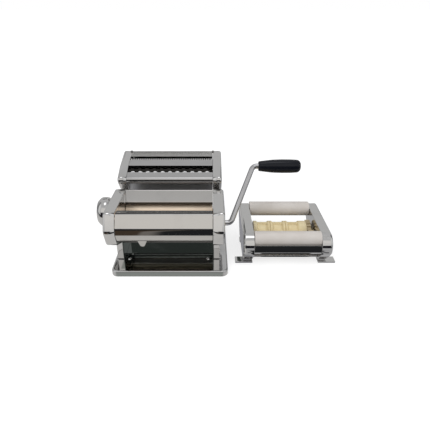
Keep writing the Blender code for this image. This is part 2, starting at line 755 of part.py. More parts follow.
def make_frames(parent):
    """Side frames with their legs, and the shells over them."""
    foot_z = BASE_TOP + GAP
    leg_top = HOUSING_KNEE[1]
    for side_name, side in SIDES:
        bush_radius = front_journal_radius(side) + BUSH_WALL + 2 * GAP
        outlines = [frame_outline(), circle(FRONT_ROLLER_AT, bush_radius), slot_outline()]
        name = side_name + "_frame"
        frame = side_plate(name, outlines, HALF_CLEAR, FRAME_OUTER, side, "mirror_steel", parent)
        root = FRAME_OUTER - FRAME_SHEET / 2
        flange = FRAME_OUTER + LEG_FLANGE_REACH
        foot = FRAME_OUTER + LEG_FOOT_REACH
        half_sheet = LEG_FLANGE_SHEET / 2
        flange_z = foot_z + half_sheet
        foot_front = LEG_FRONT_Y + half_sheet / 2
        foot_rear = LEG_REAR_Y - half_sheet / 2
        boxes = (
            (root, flange, LEG_FRONT_Y - half_sheet, LEG_FRONT_Y + half_sheet, flange_z, leg_top),
            (root, flange, LEG_REAR_Y - half_sheet, LEG_REAR_Y + half_sheet, flange_z, leg_top),
            (root, foot, foot_front, foot_rear, foot_z, foot_z + LEG_FLANGE_SHEET),
        )
        for near, far, front, rear, low, high in boxes:
            xs = sorted((side * near, side * far))
            tool(frame, box_mesh(name + "_flange", (xs[0], front, low), (xs[1], rear, high)), "UNION")
        corners = housing_corners()
        housing_name = side_name + "_housing"
        housing = side_shell(
            housing_name, corners, HALF_CLEAR, HALF_WIDTH, side, RIM_ROUND, "mirror_steel", parent
        )
        mouth = sorted((side * (HALF_CLEAR - OVERRUN), side * (flange + LEG_FLANGE_SHEET)))
        mouth_low = (mouth[0], LEG_FRONT_Y - 2 * LEG_FLANGE_SHEET, HOUSING_KNEE[1] - OVERRUN)
        mouth_high = (mouth[1], LEG_REAR_Y + LEG_FLANGE_SHEET, HOUSING_KNEE[1] + OVERRUN)
        tool(housing, box_mesh(name + "_mouth", mouth_low, mouth_high), "DIFFERENCE")
        if side > 0:
            bore(housing, FRONT_ROLLER_AT, CRANK_HOLE_RADIUS, FRAME_OUTER + OVERRUN, HALF_WIDTH + OVERRUN)
        else:
            hole_radius = CAM_SHAFT_RADIUS + PLAY
            bore(housing, REAR_ROLLER_AT, hole_radius, -HALF_WIDTH - OVERRUN, -FRAME_OUTER - OVERRUN)


def front_journal_radius(side):
    """The front roller's journal is larger at the crank's end."""
    return DRIVE_JOURNAL_RADIUS if side > 0 else JOURNAL_RADIUS


def make_covers(parent):
    """Front cover with its tab, feed cover and the guide plate between them."""
    back = COVER_SET_BACK
    top_y, top_z, _ = HOUSING_TOP_FRONT
    belly_y, belly_top_z, _ = HOUSING_BELLY_TOP
    belly_bottom_z = HOUSING_BELLY_BOTTOM[1]
    lip = (top_y + back + COVER_LIP_DEPTH, top_z - back - COVER_LIP_DROP)
    crown = (top_y + back, top_z - back)
    bottom = (COVER_BOTTOM_Y, COVER_BOTTOM_Z)
    profile = [lip, crown, (belly_y + back, belly_top_z), (belly_y + back, belly_bottom_z), bottom]
    profile.append((COVER_BOTTOM_Y + COVER_RETURN, COVER_BOTTOM_Z))
    path = [profile[0]] + [crown] + bent(profile[1:], COVER_BEND)[1:]
    cover = sheet("front_cover", path, -COVER_HALF, COVER_HALF, COVER_SHEET, "mirror_steel", parent)
    half_top = TAB_TOP_WIDTH / 2
    half_tip = TAB_TIP_WIDTH / 2
    tab_corners = [(-half_top, 0), (half_top, 0), (half_tip, -TAB_DROP), (-half_tip, -TAB_DROP)]
    tab = outline_mesh("front_cover_tab", [tab_corners], COVER_SHEET)
    tab_y = COVER_BOTTOM_Y + TAB_SET_BACK
    tool(cover, tab, "UNION", (TAB_CENTRE_X, tab_y, COVER_BOTTOM_Z), (math.pi / 2, 0, 0))
    feed = [
        (FEED_TOP[0] + COVER_SHEET, FEED_TOP[1] - FEED_REAR_DROP),
        FEED_TOP,
        FEED_LOW,
        (FEED_LOW[0] + COVER_SHEET, FEED_LOW[1] - FEED_LIP_DROP),
    ]
    sheet("feed_cover", feed, -COVER_HALF, COVER_HALF, COVER_SHEET, "mirror_steel", parent)
    guide = [(lip[0], lip[1] - GUIDE_DROP_FROM_LIP), GUIDE_LOW]
    sheet("front_guide", guide, -COVER_HALF, COVER_HALF, COVER_SHEET, "satin_steel", parent)


def scraper_profile(roller_at, lean):
    """A flat blade that ends just off the roller's underside."""
    angle = -math.pi / 2 + lean * (math.pi / 2 - SCRAPER_SLOPE)
    reach = ROLLER_RADIUS + SCRAPER_SHEET
    out = Vector((math.cos(angle), math.sin(angle)))
    tip = Vector(roller_at) + out * reach
    return [tip, tip + out * SCRAPER_LENGTH]


def make_inner_stand(parent):
    """Scrapers, tie rods, bushes and the rails for the cutter head."""
    scrapers = (("front_scraper", FRONT_ROLLER_AT, -1), ("rear_scraper", REAR_ROLLER_AT, 1))
    for name, roller_at, lean in scrapers:
        profile = scraper_profile(roller_at, lean)
        sheet(name, profile, -COVER_HALF, COVER_HALF, SCRAPER_SHEET, "satin_steel", parent)
    for name, at in (("low_tie_rod", LOW_TIE_AT), ("front_tie_rod", FRONT_TIE_AT)):
        mesh = rod_mesh(name, TIE_ROD_RADIUS, -HALF_CLEAR + GAP, HALF_CLEAR - GAP)
        place(name, mesh, "mirror_steel", parent, (0, at[0], at[1]))
    for side_name, side in SIDES:
        inner = front_journal_radius(side) + GAP
        outer = inner + BUSH_WALL
        near, far = sorted((side * HALF_CLEAR, side * (FRAME_OUTER + GAP)))
        profile = [(far, inner), (far, outer), (near, outer), (near, inner)]
        location = (0, *FRONT_ROLLER_AT)
        turned(side_name + "_bush", profile, "brass", parent, location, HOLE_STEPS, closed=True)
        rail_top = HEAD_BOTTOM_Z - GAP
        rail_front = HOUSING_REAR[0] + GAP
        rail_rear = WIDE_FRONT_AT[0] + HEAD_BOTTOM_REAR_REACH - RAIL_SHORT_OF_HEAD
        xs = sorted((side * FRAME_OUTER, side * (FRAME_OUTER + RAIL_WIDTH)))
        low = (xs[0], rail_front, rail_top - RAIL_HEIGHT)
        rail = box_mesh(side_name + "_rail", low, (xs[1], rail_rear, rail_top))
        place(side_name + "_rail", rail, "satin_steel", parent)


def make_rollers(parent):
    """The driven front roller, the adjustable rear roller, their gears, and the rear roller's blocks."""
    body_end = HALF_CLEAR - ROLLER_END_PLAY
    gear_near = FRAME_OUTER + GEAR_FROM_FRAME
    gear_far = gear_near + GEAR_WIDTH
    shaft_end = gear_far + GAP
    left_end = -FRAME_OUTER - GAP
    drive = group("drive_roller", (0, *FRONT_ROLLER_AT), parent)
    front_profile = [
        (shaft_end - SOCKET_DEPTH, 0),
        (shaft_end - SOCKET_DEPTH, SOCKET_RADIUS),
        (shaft_end, SOCKET_RADIUS),
        (shaft_end, DRIVE_JOURNAL_RADIUS),
        (body_end, DRIVE_JOURNAL_RADIUS),
        (body_end, ROLLER_RADIUS),
        (-body_end, ROLLER_RADIUS),
        (-body_end, JOURNAL_RADIUS),
        (left_end, JOURNAL_RADIUS),
        (left_end, 0),
    ]
    turned("front_roller", front_profile, "roller_steel", drive, (0, 0, 0), ROLLER_STEPS)
    rear = group("rear_roller_axis", (0, *REAR_ROLLER_AT), parent)
    rear_profile = [
        (shaft_end, 0),
        (shaft_end, JOURNAL_RADIUS),
        (body_end, JOURNAL_RADIUS),
        (body_end, ROLLER_RADIUS),
        (-body_end, ROLLER_RADIUS),
        (-body_end, JOURNAL_RADIUS),
        (left_end, JOURNAL_RADIUS),
        (left_end, 0),
    ]
    turned("rear_roller", rear_profile, "roller_steel", rear, (0, 0, 0), ROLLER_STEPS)
    centres = distance(FRONT_ROLLER_AT, REAR_ROLLER_AT)
    front_phase, rear_phase = mesh_phases(FRONT_ROLLER_AT, REAR_ROLLER_AT, GEAR_TEETH)
    bore_radius = DRIVE_JOURNAL_RADIUS + GAP
    gear("front_gear", GEAR_TEETH, centres, front_phase, bore_radius, gear_near, gear_far, drive)
    gear("rear_gear", GEAR_TEETH, centres, rear_phase, JOURNAL_RADIUS + GAP, gear_near, gear_far, rear)
    make_blocks(parent)


def make_blocks(parent):
    """Sliding bearing blocks of the rear roller. The left one has the lug that the cam pushes."""
    carrier = group("roller_carrier", (0, *REAR_ROLLER_AT), parent)
    length = BLOCK_HALF_LENGTH
    height = BLOCK_HALF_HEIGHT
    outline = [(-length, -height), (length, -height), (length, height), (-length, height)]
    hole = circle((0, 0), JOURNAL_RADIUS + GAP)
    for side_name, side in SIDES:
        name = side_name + "_bearing_block"
        block = side_plate(name, [outline, hole], HALF_CLEAR, FRAME_OUTER, side, "gear_steel", carrier)
        if side < 0:
            front = CAM_LOW_RADIUS + PLAY
            cam_end = FRAME_OUTER + CAM_FROM_FRAME + CAM_WIDTH
            low = (-cam_end, front, -CAM_LUG_HALF_HEIGHT)
            high = (-FRAME_OUTER + FRAME_SHEET / 2, length, CAM_LUG_HALF_HEIGHT)
            tool(block, box_mesh(name + "_lug", low, high), "UNION")


def cam_outline():
    """A snail: its radius grows evenly over the knob's turn, then steps back."""
    points = []
    for step in range(CAM_STEPS + 1):
        turn = CAM_TURN * step / CAM_STEPS
        radius = CAM_LOW_RADIUS + ROLLER_OPENING * step / CAM_STEPS
        points.append(radius * Vector((math.cos(-turn), math.sin(-turn))))
    points.append(CAM_LOW_RADIUS * Vector((math.cos(CAM_DWELL), math.sin(CAM_DWELL))))
    points.append(CAM_LOW_RADIUS * Vector((math.cos(CAM_DWELL / 2), math.sin(CAM_DWELL / 2))))
    return points


def make_thickness_control(parent):
    """The snail cam on its shaft, and the knob that turns it and pulls out."""
    cam = group("thickness_cam", (0, *REAR_ROLLER_AT), parent)
    cam_near = -FRAME_OUTER - CAM_FROM_FRAME
    cam_far = cam_near - CAM_WIDTH
    disc = place(
        "cam_shaft",
        outline_mesh("cam_shaft", [cam_outline()], CAM_WIDTH),
        "gear_steel",
        cam,
        ((cam_near + cam_far) / 2, 0, 0),
        side_turn(),
    )
    shaft_end = -HALF_WIDTH - KNOB_SHAFT_GRIP
    tool(disc, rod_mesh("cam_shaft_rod", CAM_SHAFT_RADIUS, shaft_end, cam_near - CAM_WIDTH / 2), "UNION")
    knob = group("thickness_knob", (0, 0, 0), cam)
    near = -HALF_WIDTH - GAP
    face = -HALF_WIDTH - KNOB_REACH
    step_x = near - KNOB_HUB_LENGTH
    bore_radius = CAM_SHAFT_RADIUS + PLAY
    bore_end = shaft_end - KNOB_TRAVEL
    centre = Vector((face + KNOB_ROUND, KNOB_RADIUS - KNOB_ROUND))
    rim = arc_between(centre, Vector((0, KNOB_ROUND)), Vector((-KNOB_ROUND, 0)), ARC_STEPS)
    inner_centre = Vector((step_x - KNOB_INNER_ROUND, KNOB_RADIUS - KNOB_INNER_ROUND))
    inner_reach = Vector((KNOB_INNER_ROUND, 0)), Vector((0, KNOB_INNER_ROUND))
    inner_rim = arc_between(inner_centre, *inner_reach, ARC_STEPS)
    profile = [(bore_end, 0), (bore_end, bore_radius), (near, bore_radius), (near, KNOB_HUB_RADIUS)]
    profile.append((step_x, KNOB_HUB_RADIUS))
    profile += [(point.x, point.y) for point in inner_rim + rim] + [(face, 0)]
    turned("knob", profile, "mirror_steel", knob, (0, 0, 0), KNOB_STEPS)


def make_crank(parent):
    """The bent rod and the grip on its end. The rod's group lies on the driven roller's axis."""
    crank = group("crank", (0, *FRONT_ROLLER_AT), parent)
    outward = Vector((0, math.cos(CRANK_START_ANGLE), math.sin(CRANK_START_ANGLE)))
    along = Vector((1, 0, 0))
    start_x = FRAME_OUTER + GEAR_FROM_FRAME + GEAR_WIDTH + GAP - CRANK_SOCKET_ENTRY
    end_x = GRIP_START_X + GRIP_LENGTH - GRIP_END_WALL - 2 * GAP
    path = bent(
        [
            along * start_x,
            along * CRANK_FIRST_BEND_X,
            along * CRANK_SECOND_BEND_X + outward * CRANK_RADIUS,
            along * end_x + outward * CRANK_RADIUS,
        ],
        CRANK_BEND_RADIUS,
        2 * ARC_STEPS,
    )
    curve = bpy.data.curves.new("crank_rod", "CURVE")
    curve.dimensions = "3D"
    curve.bevel_depth = CRANK_ROD_RADIUS
    curve.bevel_resolution = CRANK_ROD_STEPS
    curve.use_fill_caps = True
    spline = curve.splines.new("POLY")
    spline.points.add(len(path) - 1)
    for target, point in zip(spline.points, path):
        target.co = (*point, 1)
    rod = bpy.data.objects.new("crank_rod", curve)
    PARTS.objects.link(rod)
    rod.parent = crank
    curve.materials.append(own_material("crank_rod", "satin_steel"))
    grip = group("crank_grip_axis", outward * CRANK_RADIUS, crank)
    inner = CRANK_ROD_RADIUS + GAP
    far = GRIP_START_X + GRIP_LENGTH
    taper = far - GRIP_RADIUS
    centre = Vector((taper, 0))
    end = arc_between(centre, Vector((GRIP_RADIUS, 0)), Vector((0, GRIP_RADIUS)), 2 * ARC_STEPS)
    profile = [(point.x, point.y) for point in end]
    profile.append((GRIP_START_X + GRIP_LENGTH * GRIP_SHOULDER_SHARE, GRIP_RADIUS))
    profile.append((GRIP_START_X + GRIP_LENGTH * GRIP_WAIST_SHARE, (GRIP_RADIUS + GRIP_NECK_RADIUS) / 2))
    profile += [(GRIP_START_X, GRIP_NECK_RADIUS), (GRIP_START_X, inner)]
    profile += [(far - GRIP_END_WALL, inner), (far - GRIP_END_WALL, 0)]
    turned("crank_grip", profile, "black_plastic", grip, (0, 0, 0), ROLLER_STEPS)


def head_corners():
    """The cutter head's outline, from its nose round over the top."""
    y, z = WIDE_FRONT_AT
    named = (HEAD_NOSE, HEAD_BROW, HEAD_FOLD, HEAD_TOP_REAR)
    top = [(y + reach, z + rise, corner) for reach, rise, corner in named]
    rear_y = y + HEAD_REAR_REACH
    return top + [
        (rear_y, z + HEAD_REAR_TOP_RISE, HEAD_CORNER),
        (rear_y, z + HEAD_REAR_LOW_RISE, HEAD_REAR_LOW_ROUND),
        (y + HEAD_BOTTOM_REAR_REACH, HEAD_BOTTOM_Z, HEAD_BOTTOM_REAR_ROUND),
        (y + HEAD_BOTTOM_FRONT_REACH, HEAD_BOTTOM_Z, HEAD_CORNER),
    ]


def slot_edges(front_at, rear_at, width, ring_radius, clearance):
    """The front and rear edges of the slot over a pair of cutters, and its slope."""
    across = Vector(rear_at) - Vector(front_at)
    slope = math.atan2(across.y, across.x)
    along = across.normalized()
    rise = ring_radius + clearance + comb_drop() * along.x + COMB_SHEET / 2
    middle = (Vector(front_at) + Vector(rear_at)) / 2 + along.orthogonal() * rise
    return middle - along * width / 2, middle + along * width / 2, slope


def comb_drop():
    """How far a comb's middle lies under the edge of its slot."""
    return COVER_SHEET / 2 + COMB_SHEET / 2 + GAP


def make_head_shell(parent):
    """End caps, inner plates, covers and combs of the cutter head."""
    shafts = (WIDE_FRONT_AT, WIDE_REAR_AT, FINE_FRONT_AT, FINE_REAR_AT)
    for side_name, side in SIDES:
        name = "cutter_" + side_name + "_cap"
        cap = side_shell(
            name, head_corners(), HALF_CLEAR, HEAD_HALF_WIDTH, side, RIM_ROUND, "mirror_steel", parent
        )
        places = []
        for at in shafts:
            drive = side > 0 and at in (WIDE_FRONT_AT, FINE_REAR_AT)
            places.append((at, GAP + (CUTTER_DRIVE_RADIUS if drive else CUTTER_JOURNAL_RADIUS)))
            if drive:
                bore(cap, at, CRANK_HOLE_RADIUS, FRAME_OUTER + OVERRUN, HEAD_HALF_WIDTH + OVERRUN)
        holes = shaft_holes(places)
        outline = rounded(inset(head_corners(), SHELL_WALL + GAP))
        plate_name = "cutter_" + side_name + "_plate"
        outer = HALF_CLEAR + HEAD_INNER_SHEET
        side_plate(plate_name, [outline] + holes, HALF_CLEAR, outer, side, "satin_steel", parent)
    corners = [corner[:2] for corner in inset(head_corners(), HEAD_SHEET_DROP)]
    wide_slot = slot_edges(
        WIDE_FRONT_AT, WIDE_REAR_AT, WIDE_SLOT_WIDTH, WIDE_RING_RADIUS, WIDE_COMB_CLEARANCE
    )
    fine_slot = slot_edges(FINE_FRONT_AT, FINE_REAR_AT, FINE_SLOT_WIDTH, FINE_RADIUS, FINE_COMB_CLEARANCE)
    front_profile = [corners[7], corners[0], corners[1], wide_slot[0]]
    middle_profile = [wide_slot[1], fine_slot[0]]
    rear_profile = [fine_slot[1]] + corners[3:7]
    for name, profile in (
        ("cutter_front_cover", front_profile),
        ("cutter_middle_plate", middle_profile),
        ("cutter_rear_cover", rear_profile),
    ):
        sheet(name, profile, -COVER_HALF, COVER_HALF, COVER_SHEET, "mirror_steel", parent)
    wide_teeth = (WIDE_PITCH, WIDE_TOOTH_SHARE, WIDE_COMB_REACH, WIDE_COMB_ROOT)
    fine_teeth = (FINE_PITCH, FINE_TOOTH_SHARE, FINE_COMB_REACH, FINE_COMB_ROOT)
    comb("wide_comb", wide_slot[0], wide_slot[2], wide_teeth, parent)
    comb("fine_comb", fine_slot[0], fine_slot[2], fine_teeth, parent)
    tie = rod_mesh("cutter_tie_rod", TIE_ROD_RADIUS, -HALF_CLEAR + GAP, HALF_CLEAR - GAP)
    place("cutter_tie_rod", tie, "satin_steel", parent, (0, *HEAD_TIE_AT))


def comb(name, edge_at, slope, teeth_sizes, parent):
    """A toothed strip under a plate's edge, reaching out into the feed slot."""
    pitch, tooth_share, reach, root = teeth_sizes
    count = int(CLEAR_WIDTH / pitch)
    first = -(count - 1) * pitch / 2
    half_tooth = pitch * tooth_share / 2
    points = [(-COVER_HALF, -root), (COVER_HALF, -root)]
    teeth = []
    for index in range(count):
        middle = first + index * pitch
        teeth += [(middle - half_tooth, 0), (middle - half_tooth / 2, reach)]
        teeth += [(middle + half_tooth / 2, reach), (middle + half_tooth, 0)]
    points += [(COVER_HALF, 0)] + list(reversed(teeth)) + [(-COVER_HALF, 0)]
    mesh = outline_mesh(name, [points], COMB_SHEET)
    piece = place(name, mesh, "satin_steel", parent)
    piece.location = (0, edge_at[0], edge_at[1] - comb_drop())
    piece.rotation_euler = (slope, 0, 0)
    return piece


def shaft_profile(right_end, left_end, body, right_radius, left_radius, socket_depth):
    """A shaft with a body between its journals, and a socket in its right end where it is driven."""
    body_end = body[0][0]
    start = [(right_end, 0), (right_end, right_radius)]
    if socket_depth:
        floor = right_end - socket_depth
        start = [(floor, 0), (floor, SOCKET_RADIUS), (right_end, SOCKET_RADIUS), (right_end, right_radius)]
    left = [(body[-1][0], left_radius), (left_end, left_radius), (left_end, 0)]
    return start + [(body_end, right_radius)] + body + left


def wide_body(shift):
    """Rings and grooves of a wide cutter, shifted along by a share of the pitch."""
    end = HALF_CLEAR - ROLLER_END_PLAY
    count = int(CLEAR_WIDTH / WIDE_PITCH)
    first = (count - 1) * WIDE_PITCH / 2 + shift * WIDE_PITCH
    points = [(end, WIDE_GROOVE_RADIUS)]
    for index in range(count):
        middle = first - index * WIDE_PITCH
        right = middle + WIDE_RING_WIDTH / 2
        left = middle - WIDE_RING_WIDTH / 2
        points += [(right, WIDE_GROOVE_RADIUS), (right, WIDE_RING_RADIUS)]
        points += [(left, WIDE_RING_RADIUS), (left, WIDE_GROOVE_RADIUS)]
    points.append((-end, WIDE_GROOVE_RADIUS))
    return points


def make_cutters(parent):
    """Two pairs of cutters. In each pair the one with the crank's socket drives the other."""
    end = HALF_CLEAR - ROLLER_END_PLAY
    plate_outer = HALF_CLEAR + HEAD_INNER_SHEET
    right_end = HEAD_HALF_WIDTH - SHELL_WALL - 2 * PLAY
    plain = [(end, FINE_RADIUS), (-end, FINE_RADIUS)]
    ringed = (wide_body(WIDE_SHIFT_SHARE), wide_body(-WIDE_SHIFT_SHARE))
    pairs = (
        ("wide", WIDE_FRONT_AT, WIDE_REAR_AT, ringed, WIDE_GEAR_FROM_PLATE),
        ("fine", FINE_REAR_AT, FINE_FRONT_AT, (plain, plain), FINE_GEAR_FROM_PLATE),
    )
    for kind, drive_at, driven_at, bodies, gear_offset in pairs:
        gear_near = -plate_outer - gear_offset
        gear_far = gear_near - CUTTER_GEAR_WIDTH
        centres = distance(drive_at, driven_at)
        phases = mesh_phases(drive_at, driven_at, CUTTER_TEETH)
        drive_end = (right_end, CUTTER_DRIVE_RADIUS, SOCKET_DEPTH / 2)
        ends = (drive_end, (plate_outer + PLAY, CUTTER_JOURNAL_RADIUS, 0))
        roles = zip(("drive", "driven"), (drive_at, driven_at), bodies, phases, ends)
        for role, at, body, phase, (end_x, radius, socket) in roles:
            axis = group(kind + "_" + role, (0, *at), parent)
            profile = shaft_profile(end_x, gear_far - GAP, body, radius, CUTTER_JOURNAL_RADIUS, socket)
            turned(kind + "_cutter_" + role, profile, "satin_steel", axis, (0, 0, 0), CUTTER_STEPS)
            name = kind + "_gear_" + role
            gear(name, CUTTER_TEETH, centres, phase, CUTTER_JOURNAL_RADIUS + GAP, gear_far, gear_near, axis)


def ravioli_corners():
    """The ravioli housing's outline: a flat top, a round nose, a narrow foot and a raised tail."""
    front_y = GUIDE_FRONT_AT[0] - RAVIOLI_FRONT_BEFORE_GUIDE
    return [
        (front_y, RAVIOLI_TOP_Z, RAVIOLI_BROW_RADIUS),
        (front_y, GUIDE_FRONT_AT[1] - RAVIOLI_CHIN_DROP, RAVIOLI_CHIN_ROUND),
        (RAVIOLI_BOTTOM_FRONT_Y, RAVIOLI_BOTTOM_Z, RAVIOLI_CORNER),
        (RAVIOLI_BOTTOM_REAR_Y, RAVIOLI_BOTTOM_Z, 2 * RAVIOLI_CORNER),
        (RAVIOLI_REAR_Y, GUIDE_REAR_AT[1] - RAVIOLI_REAR_DROP, RAVIOLI_CORNER),
        (RAVIOLI_REAR_Y, RAVIOLI_TOP_Z, RAVIOLI_CORNER),
    ]


def make_ravioli_sides(parent):
    """Housings, and inner plates with feet, of the ravioli attachment."""
    corners = ravioli_corners()
    half_clear = RAVIOLI_HALF_CLEAR
    half_width = RAVIOLI_HALF_WIDTH
    sheet_outer = half_clear + RAVIOLI_SHEET
    for side_name, side in SIDES:
        name = "ravioli_" + side_name
        finish = "mirror_steel"
        housing = side_shell(
            name + "_housing", corners, half_clear, half_width, side, RAVIOLI_RIM_ROUND, finish, parent
        )
        places = [(at, GUIDE_JOURNAL_RADIUS + GAP) for at in (GUIDE_FRONT_AT, GUIDE_REAR_AT)]
        places += [(at, MOULD_JOURNAL_RADIUS + GAP) for at in (MOULD_FRONT_AT, MOULD_REAR_AT)]
        holes = shaft_holes(places)
        if side > 0:
            hole_start = half_clear + RAVIOLI_RIM_ROUND
            bore(housing, MOULD_FRONT_AT, CRANK_HOLE_RADIUS, hole_start, half_width + OVERRUN)
        outlines = [rounded(inset(corners, SHELL_WALL + GAP))] + holes
        plate = side_plate(name + "_plate", outlines, half_clear, sheet_outer, side, "satin_steel", parent)
        slot = sorted((side * (half_clear - OVERRUN), side * (sheet_outer + GAP)))
        post_xs = sorted((side * (half_clear + GAP), side * (sheet_outer - GAP)))
        feet = ((RAVIOLI_FOOT_REACH, PLAY, RAVIOLI_FOOT_FLARE), (PLAY, RAVIOLI_FOOT_REACH, 0))
        for post, (ahead, behind, flare) in zip(ravioli_posts(), feet):
            post_low = (post_xs[0], post[0], RAVIOLI_FOOT_SHEET / 2)
            post_high = (post_xs[1], post[1], RAVIOLI_BOTTOM_Z + RAVIOLI_CORNER)
            tool(plate, box_mesh(name + "_post", post_low, post_high), "UNION")
            xs = sorted((side * (half_clear + RAVIOLI_SHEET / 4), side * (half_width + flare)))
            foot_low = (xs[0], post[0] - ahead, 0)
            foot_high = (xs[1], post[1] + behind, RAVIOLI_FOOT_SHEET)
            tool(plate, box_mesh(name + "_foot", foot_low, foot_high), "UNION")
            slot_low = (slot[0], post[0] - PLAY, RAVIOLI_BOTTOM_Z - OVERRUN)
            slot_high = (slot[1], post[1] + PLAY, RAVIOLI_BOTTOM_Z + OVERRUN)
            tool(housing, box_mesh(name + "_slot", slot_low, slot_high), "DIFFERENCE")


def ravioli_posts():
    """Where the two posts of an inner plate start and end along its lower edge."""
    front = RAVIOLI_BOTTOM_FRONT_Y + RAVIOLI_CORNER
    rear = RAVIOLI_BOTTOM_REAR_Y - RAVIOLI_CORNER
    return (front, front + RAVIOLI_POST_LENGTH), (rear - RAVIOLI_POST_LENGTH, rear)


def mould_body():
    """Cells between double rings, from the gear's end to the plain end."""
    plain_end = -RAVIOLI_HALF_CLEAR + MOULD_LEFT_PLAY
    gear_end = plain_end + MOULD_LENGTH
    middle = (plain_end + gear_end) / 2
    ring = (MOULD_PITCH - MOULD_CELL_WIDTH) / 2
    points = [(gear_end, MOULD_RADIUS)]
    for index in range(MOULD_CELLS):
        cell = middle + (MOULD_CELLS - 1) * MOULD_PITCH / 2 - index * MOULD_PITCH
        right = cell + MOULD_CELL_WIDTH / 2
        left = cell - MOULD_CELL_WIDTH / 2
        if index:
            groove = right + ring
            points += groove_points(groove)
        points += [(right, MOULD_RADIUS), (right, MOULD_CELL_RADIUS)]
        points += [(left, MOULD_CELL_RADIUS), (left, MOULD_RADIUS)]
    points.append((plain_end, MOULD_RADIUS))
    return points


def groove_points(middle):
    """A narrow groove round the mould's ring."""
    half = MOULD_GROOVE_WIDTH / 2
    return [(middle + half, MOULD_RADIUS), (middle, MOULD_CELL_RADIUS), (middle - half, MOULD_RADIUS)]


def make_ravioli_rollers(parent):
    """Guide rollers, and mould rollers with their gears moulded on."""
    end = RAVIOLI_HALF_CLEAR - GUIDE_END_PLAY
    tip = RAVIOLI_HALF_CLEAR + RAVIOLI_SHEET + PLAY
    guide = [(end, GUIDE_ROLLER_RADIUS), (-end, GUIDE_ROLLER_RADIUS)]
    profile = shaft_profile(tip, -tip, guide, GUIDE_JOURNAL_RADIUS, GUIDE_JOURNAL_RADIUS, 0)
    for name, at in (("front_guide_roller", GUIDE_FRONT_AT), ("rear_guide_roller", GUIDE_REAR_AT)):
        axis = group(name + "_axis", (0, *at), parent)
        turned(name, profile, "white_plastic", axis, (0, 0, 0), ROLLER_STEPS)
    body = mould_body()
    gear_near = body[0][0] + PLAY
    gear_far = gear_near + MOULD_GEAR_WIDTH
    centres = distance(MOULD_FRONT_AT, MOULD_REAR_AT)
    phases = mesh_phases(MOULD_FRONT_AT, MOULD_REAR_AT, MOULD_TEETH)
    drive_end = RAVIOLI_HALF_WIDTH - SHELL_WALL - 2 * PLAY
    ends = ((drive_end, MOULD_SOCKET_DEPTH), (tip, 0))
    roles = zip(("front_mould", "rear_mould"), (MOULD_FRONT_AT, MOULD_REAR_AT), phases, ends)
    for name, at, phase, (end_x, socket) in roles:
        axis = group(name + "_axis", (0, *at), parent)
        profile = shaft_profile(end_x, -tip, body, MOULD_JOURNAL_RADIUS, MOULD_JOURNAL_RADIUS, socket)
        mould = turned(name, profile, "cream_plastic", axis, (0, 0, 0), MOULD_STEPS)
        teeth = [gear_outline(MOULD_TEETH, centres, phase), circle((0, 0), MOULD_JOURNAL_RADIUS - PLAY)]
        toothed = outline_mesh(name + "_gear", teeth, gear_far - gear_near)
        tool(mould, toothed, "UNION", ((gear_near + gear_far) / 2, 0, 0), side_turn())


def make_ravioli_trim(parent):
    """The bent guard before the front guide roller, and the tie bar."""
    path = [Vector(GUIDE_FRONT_AT) + Vector(point) for point in (GUARD_TOP, GUARD_BEND, GUARD_LIP)]
    end = RAVIOLI_HALF_CLEAR - PLAY
    sheet("ravioli_guard", path, -end, end, GUARD_SHEET, "mirror_steel", parent)
    bar = rod_mesh("ravioli_tie_bar", TIE_BAR_RADIUS, -RAVIOLI_HALF_CLEAR + GAP, RAVIOLI_HALF_CLEAR - GAP)
    place("ravioli_tie_bar", bar, "satin_steel", parent, (0, *TIE_BAR_AT))


def build():
    """Make the whole set."""
    root = group("pasta_machine_set", (-(SET_LEFT + SET_RIGHT) / 2, -(SET_FRONT + SET_REAR) / 2, 0))
    make_base(root)
    make_frames(root)
    make_covers(root)
    make_inner_stand(root)
    make_rollers(root)
    make_thickness_control(root)
    make_crank(root)
    head = group("cutter_head", (0, 0, 0), root)
    make_head_shell(head)
    make_cutters(head)
    ravioli = group("ravioli_attachment", (RAVIOLI_X, 0, 0), root)
    make_ravioli_sides(ravioli)
    make_ravioli_rollers(ravioli)
    make_ravioli_trim(ravioli)
    bpy.context.view_layer.update()


clear_scene()
PARTS = new_collection("pasta_machine")
CUTTERS = new_collection("cutters")
MATERIALS = make_materials()
build()
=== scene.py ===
"""Looks of a hand-cranked pasta machine and its ravioli attachment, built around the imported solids.

Metres, +Z up. Pieces are made in the machine's own frame, which has x = 0 midway between the side frames, y = 0 just
behind the base's front edge and z = 0 on the table. They are then moved to the set's origin.
"""

import math

import bmesh
import bpy
from mathutils import Matrix, Vector


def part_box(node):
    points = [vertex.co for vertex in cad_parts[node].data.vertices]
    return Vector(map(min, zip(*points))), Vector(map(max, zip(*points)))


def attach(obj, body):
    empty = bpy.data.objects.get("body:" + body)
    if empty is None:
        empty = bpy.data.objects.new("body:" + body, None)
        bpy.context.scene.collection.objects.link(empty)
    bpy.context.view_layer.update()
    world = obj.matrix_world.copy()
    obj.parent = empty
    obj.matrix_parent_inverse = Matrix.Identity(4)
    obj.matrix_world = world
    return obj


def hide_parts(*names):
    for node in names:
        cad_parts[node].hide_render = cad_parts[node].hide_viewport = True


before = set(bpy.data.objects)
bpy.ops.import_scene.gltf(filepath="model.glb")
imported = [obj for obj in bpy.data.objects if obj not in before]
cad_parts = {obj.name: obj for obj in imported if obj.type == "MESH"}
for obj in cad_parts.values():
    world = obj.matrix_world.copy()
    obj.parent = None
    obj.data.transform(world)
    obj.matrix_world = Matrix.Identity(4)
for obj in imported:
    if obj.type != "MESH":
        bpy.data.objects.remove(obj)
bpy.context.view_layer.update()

# The set's origin, from the base plate's place
BASE_OFFSET_X = 0.004
BASE_FRONT_Y = -0.009
base_low, base_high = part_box("base_plate")
SET_ORIGIN = Vector(((base_low.x + base_high.x) / 2 - BASE_OFFSET_X, base_low.y - BASE_FRONT_Y, 0))

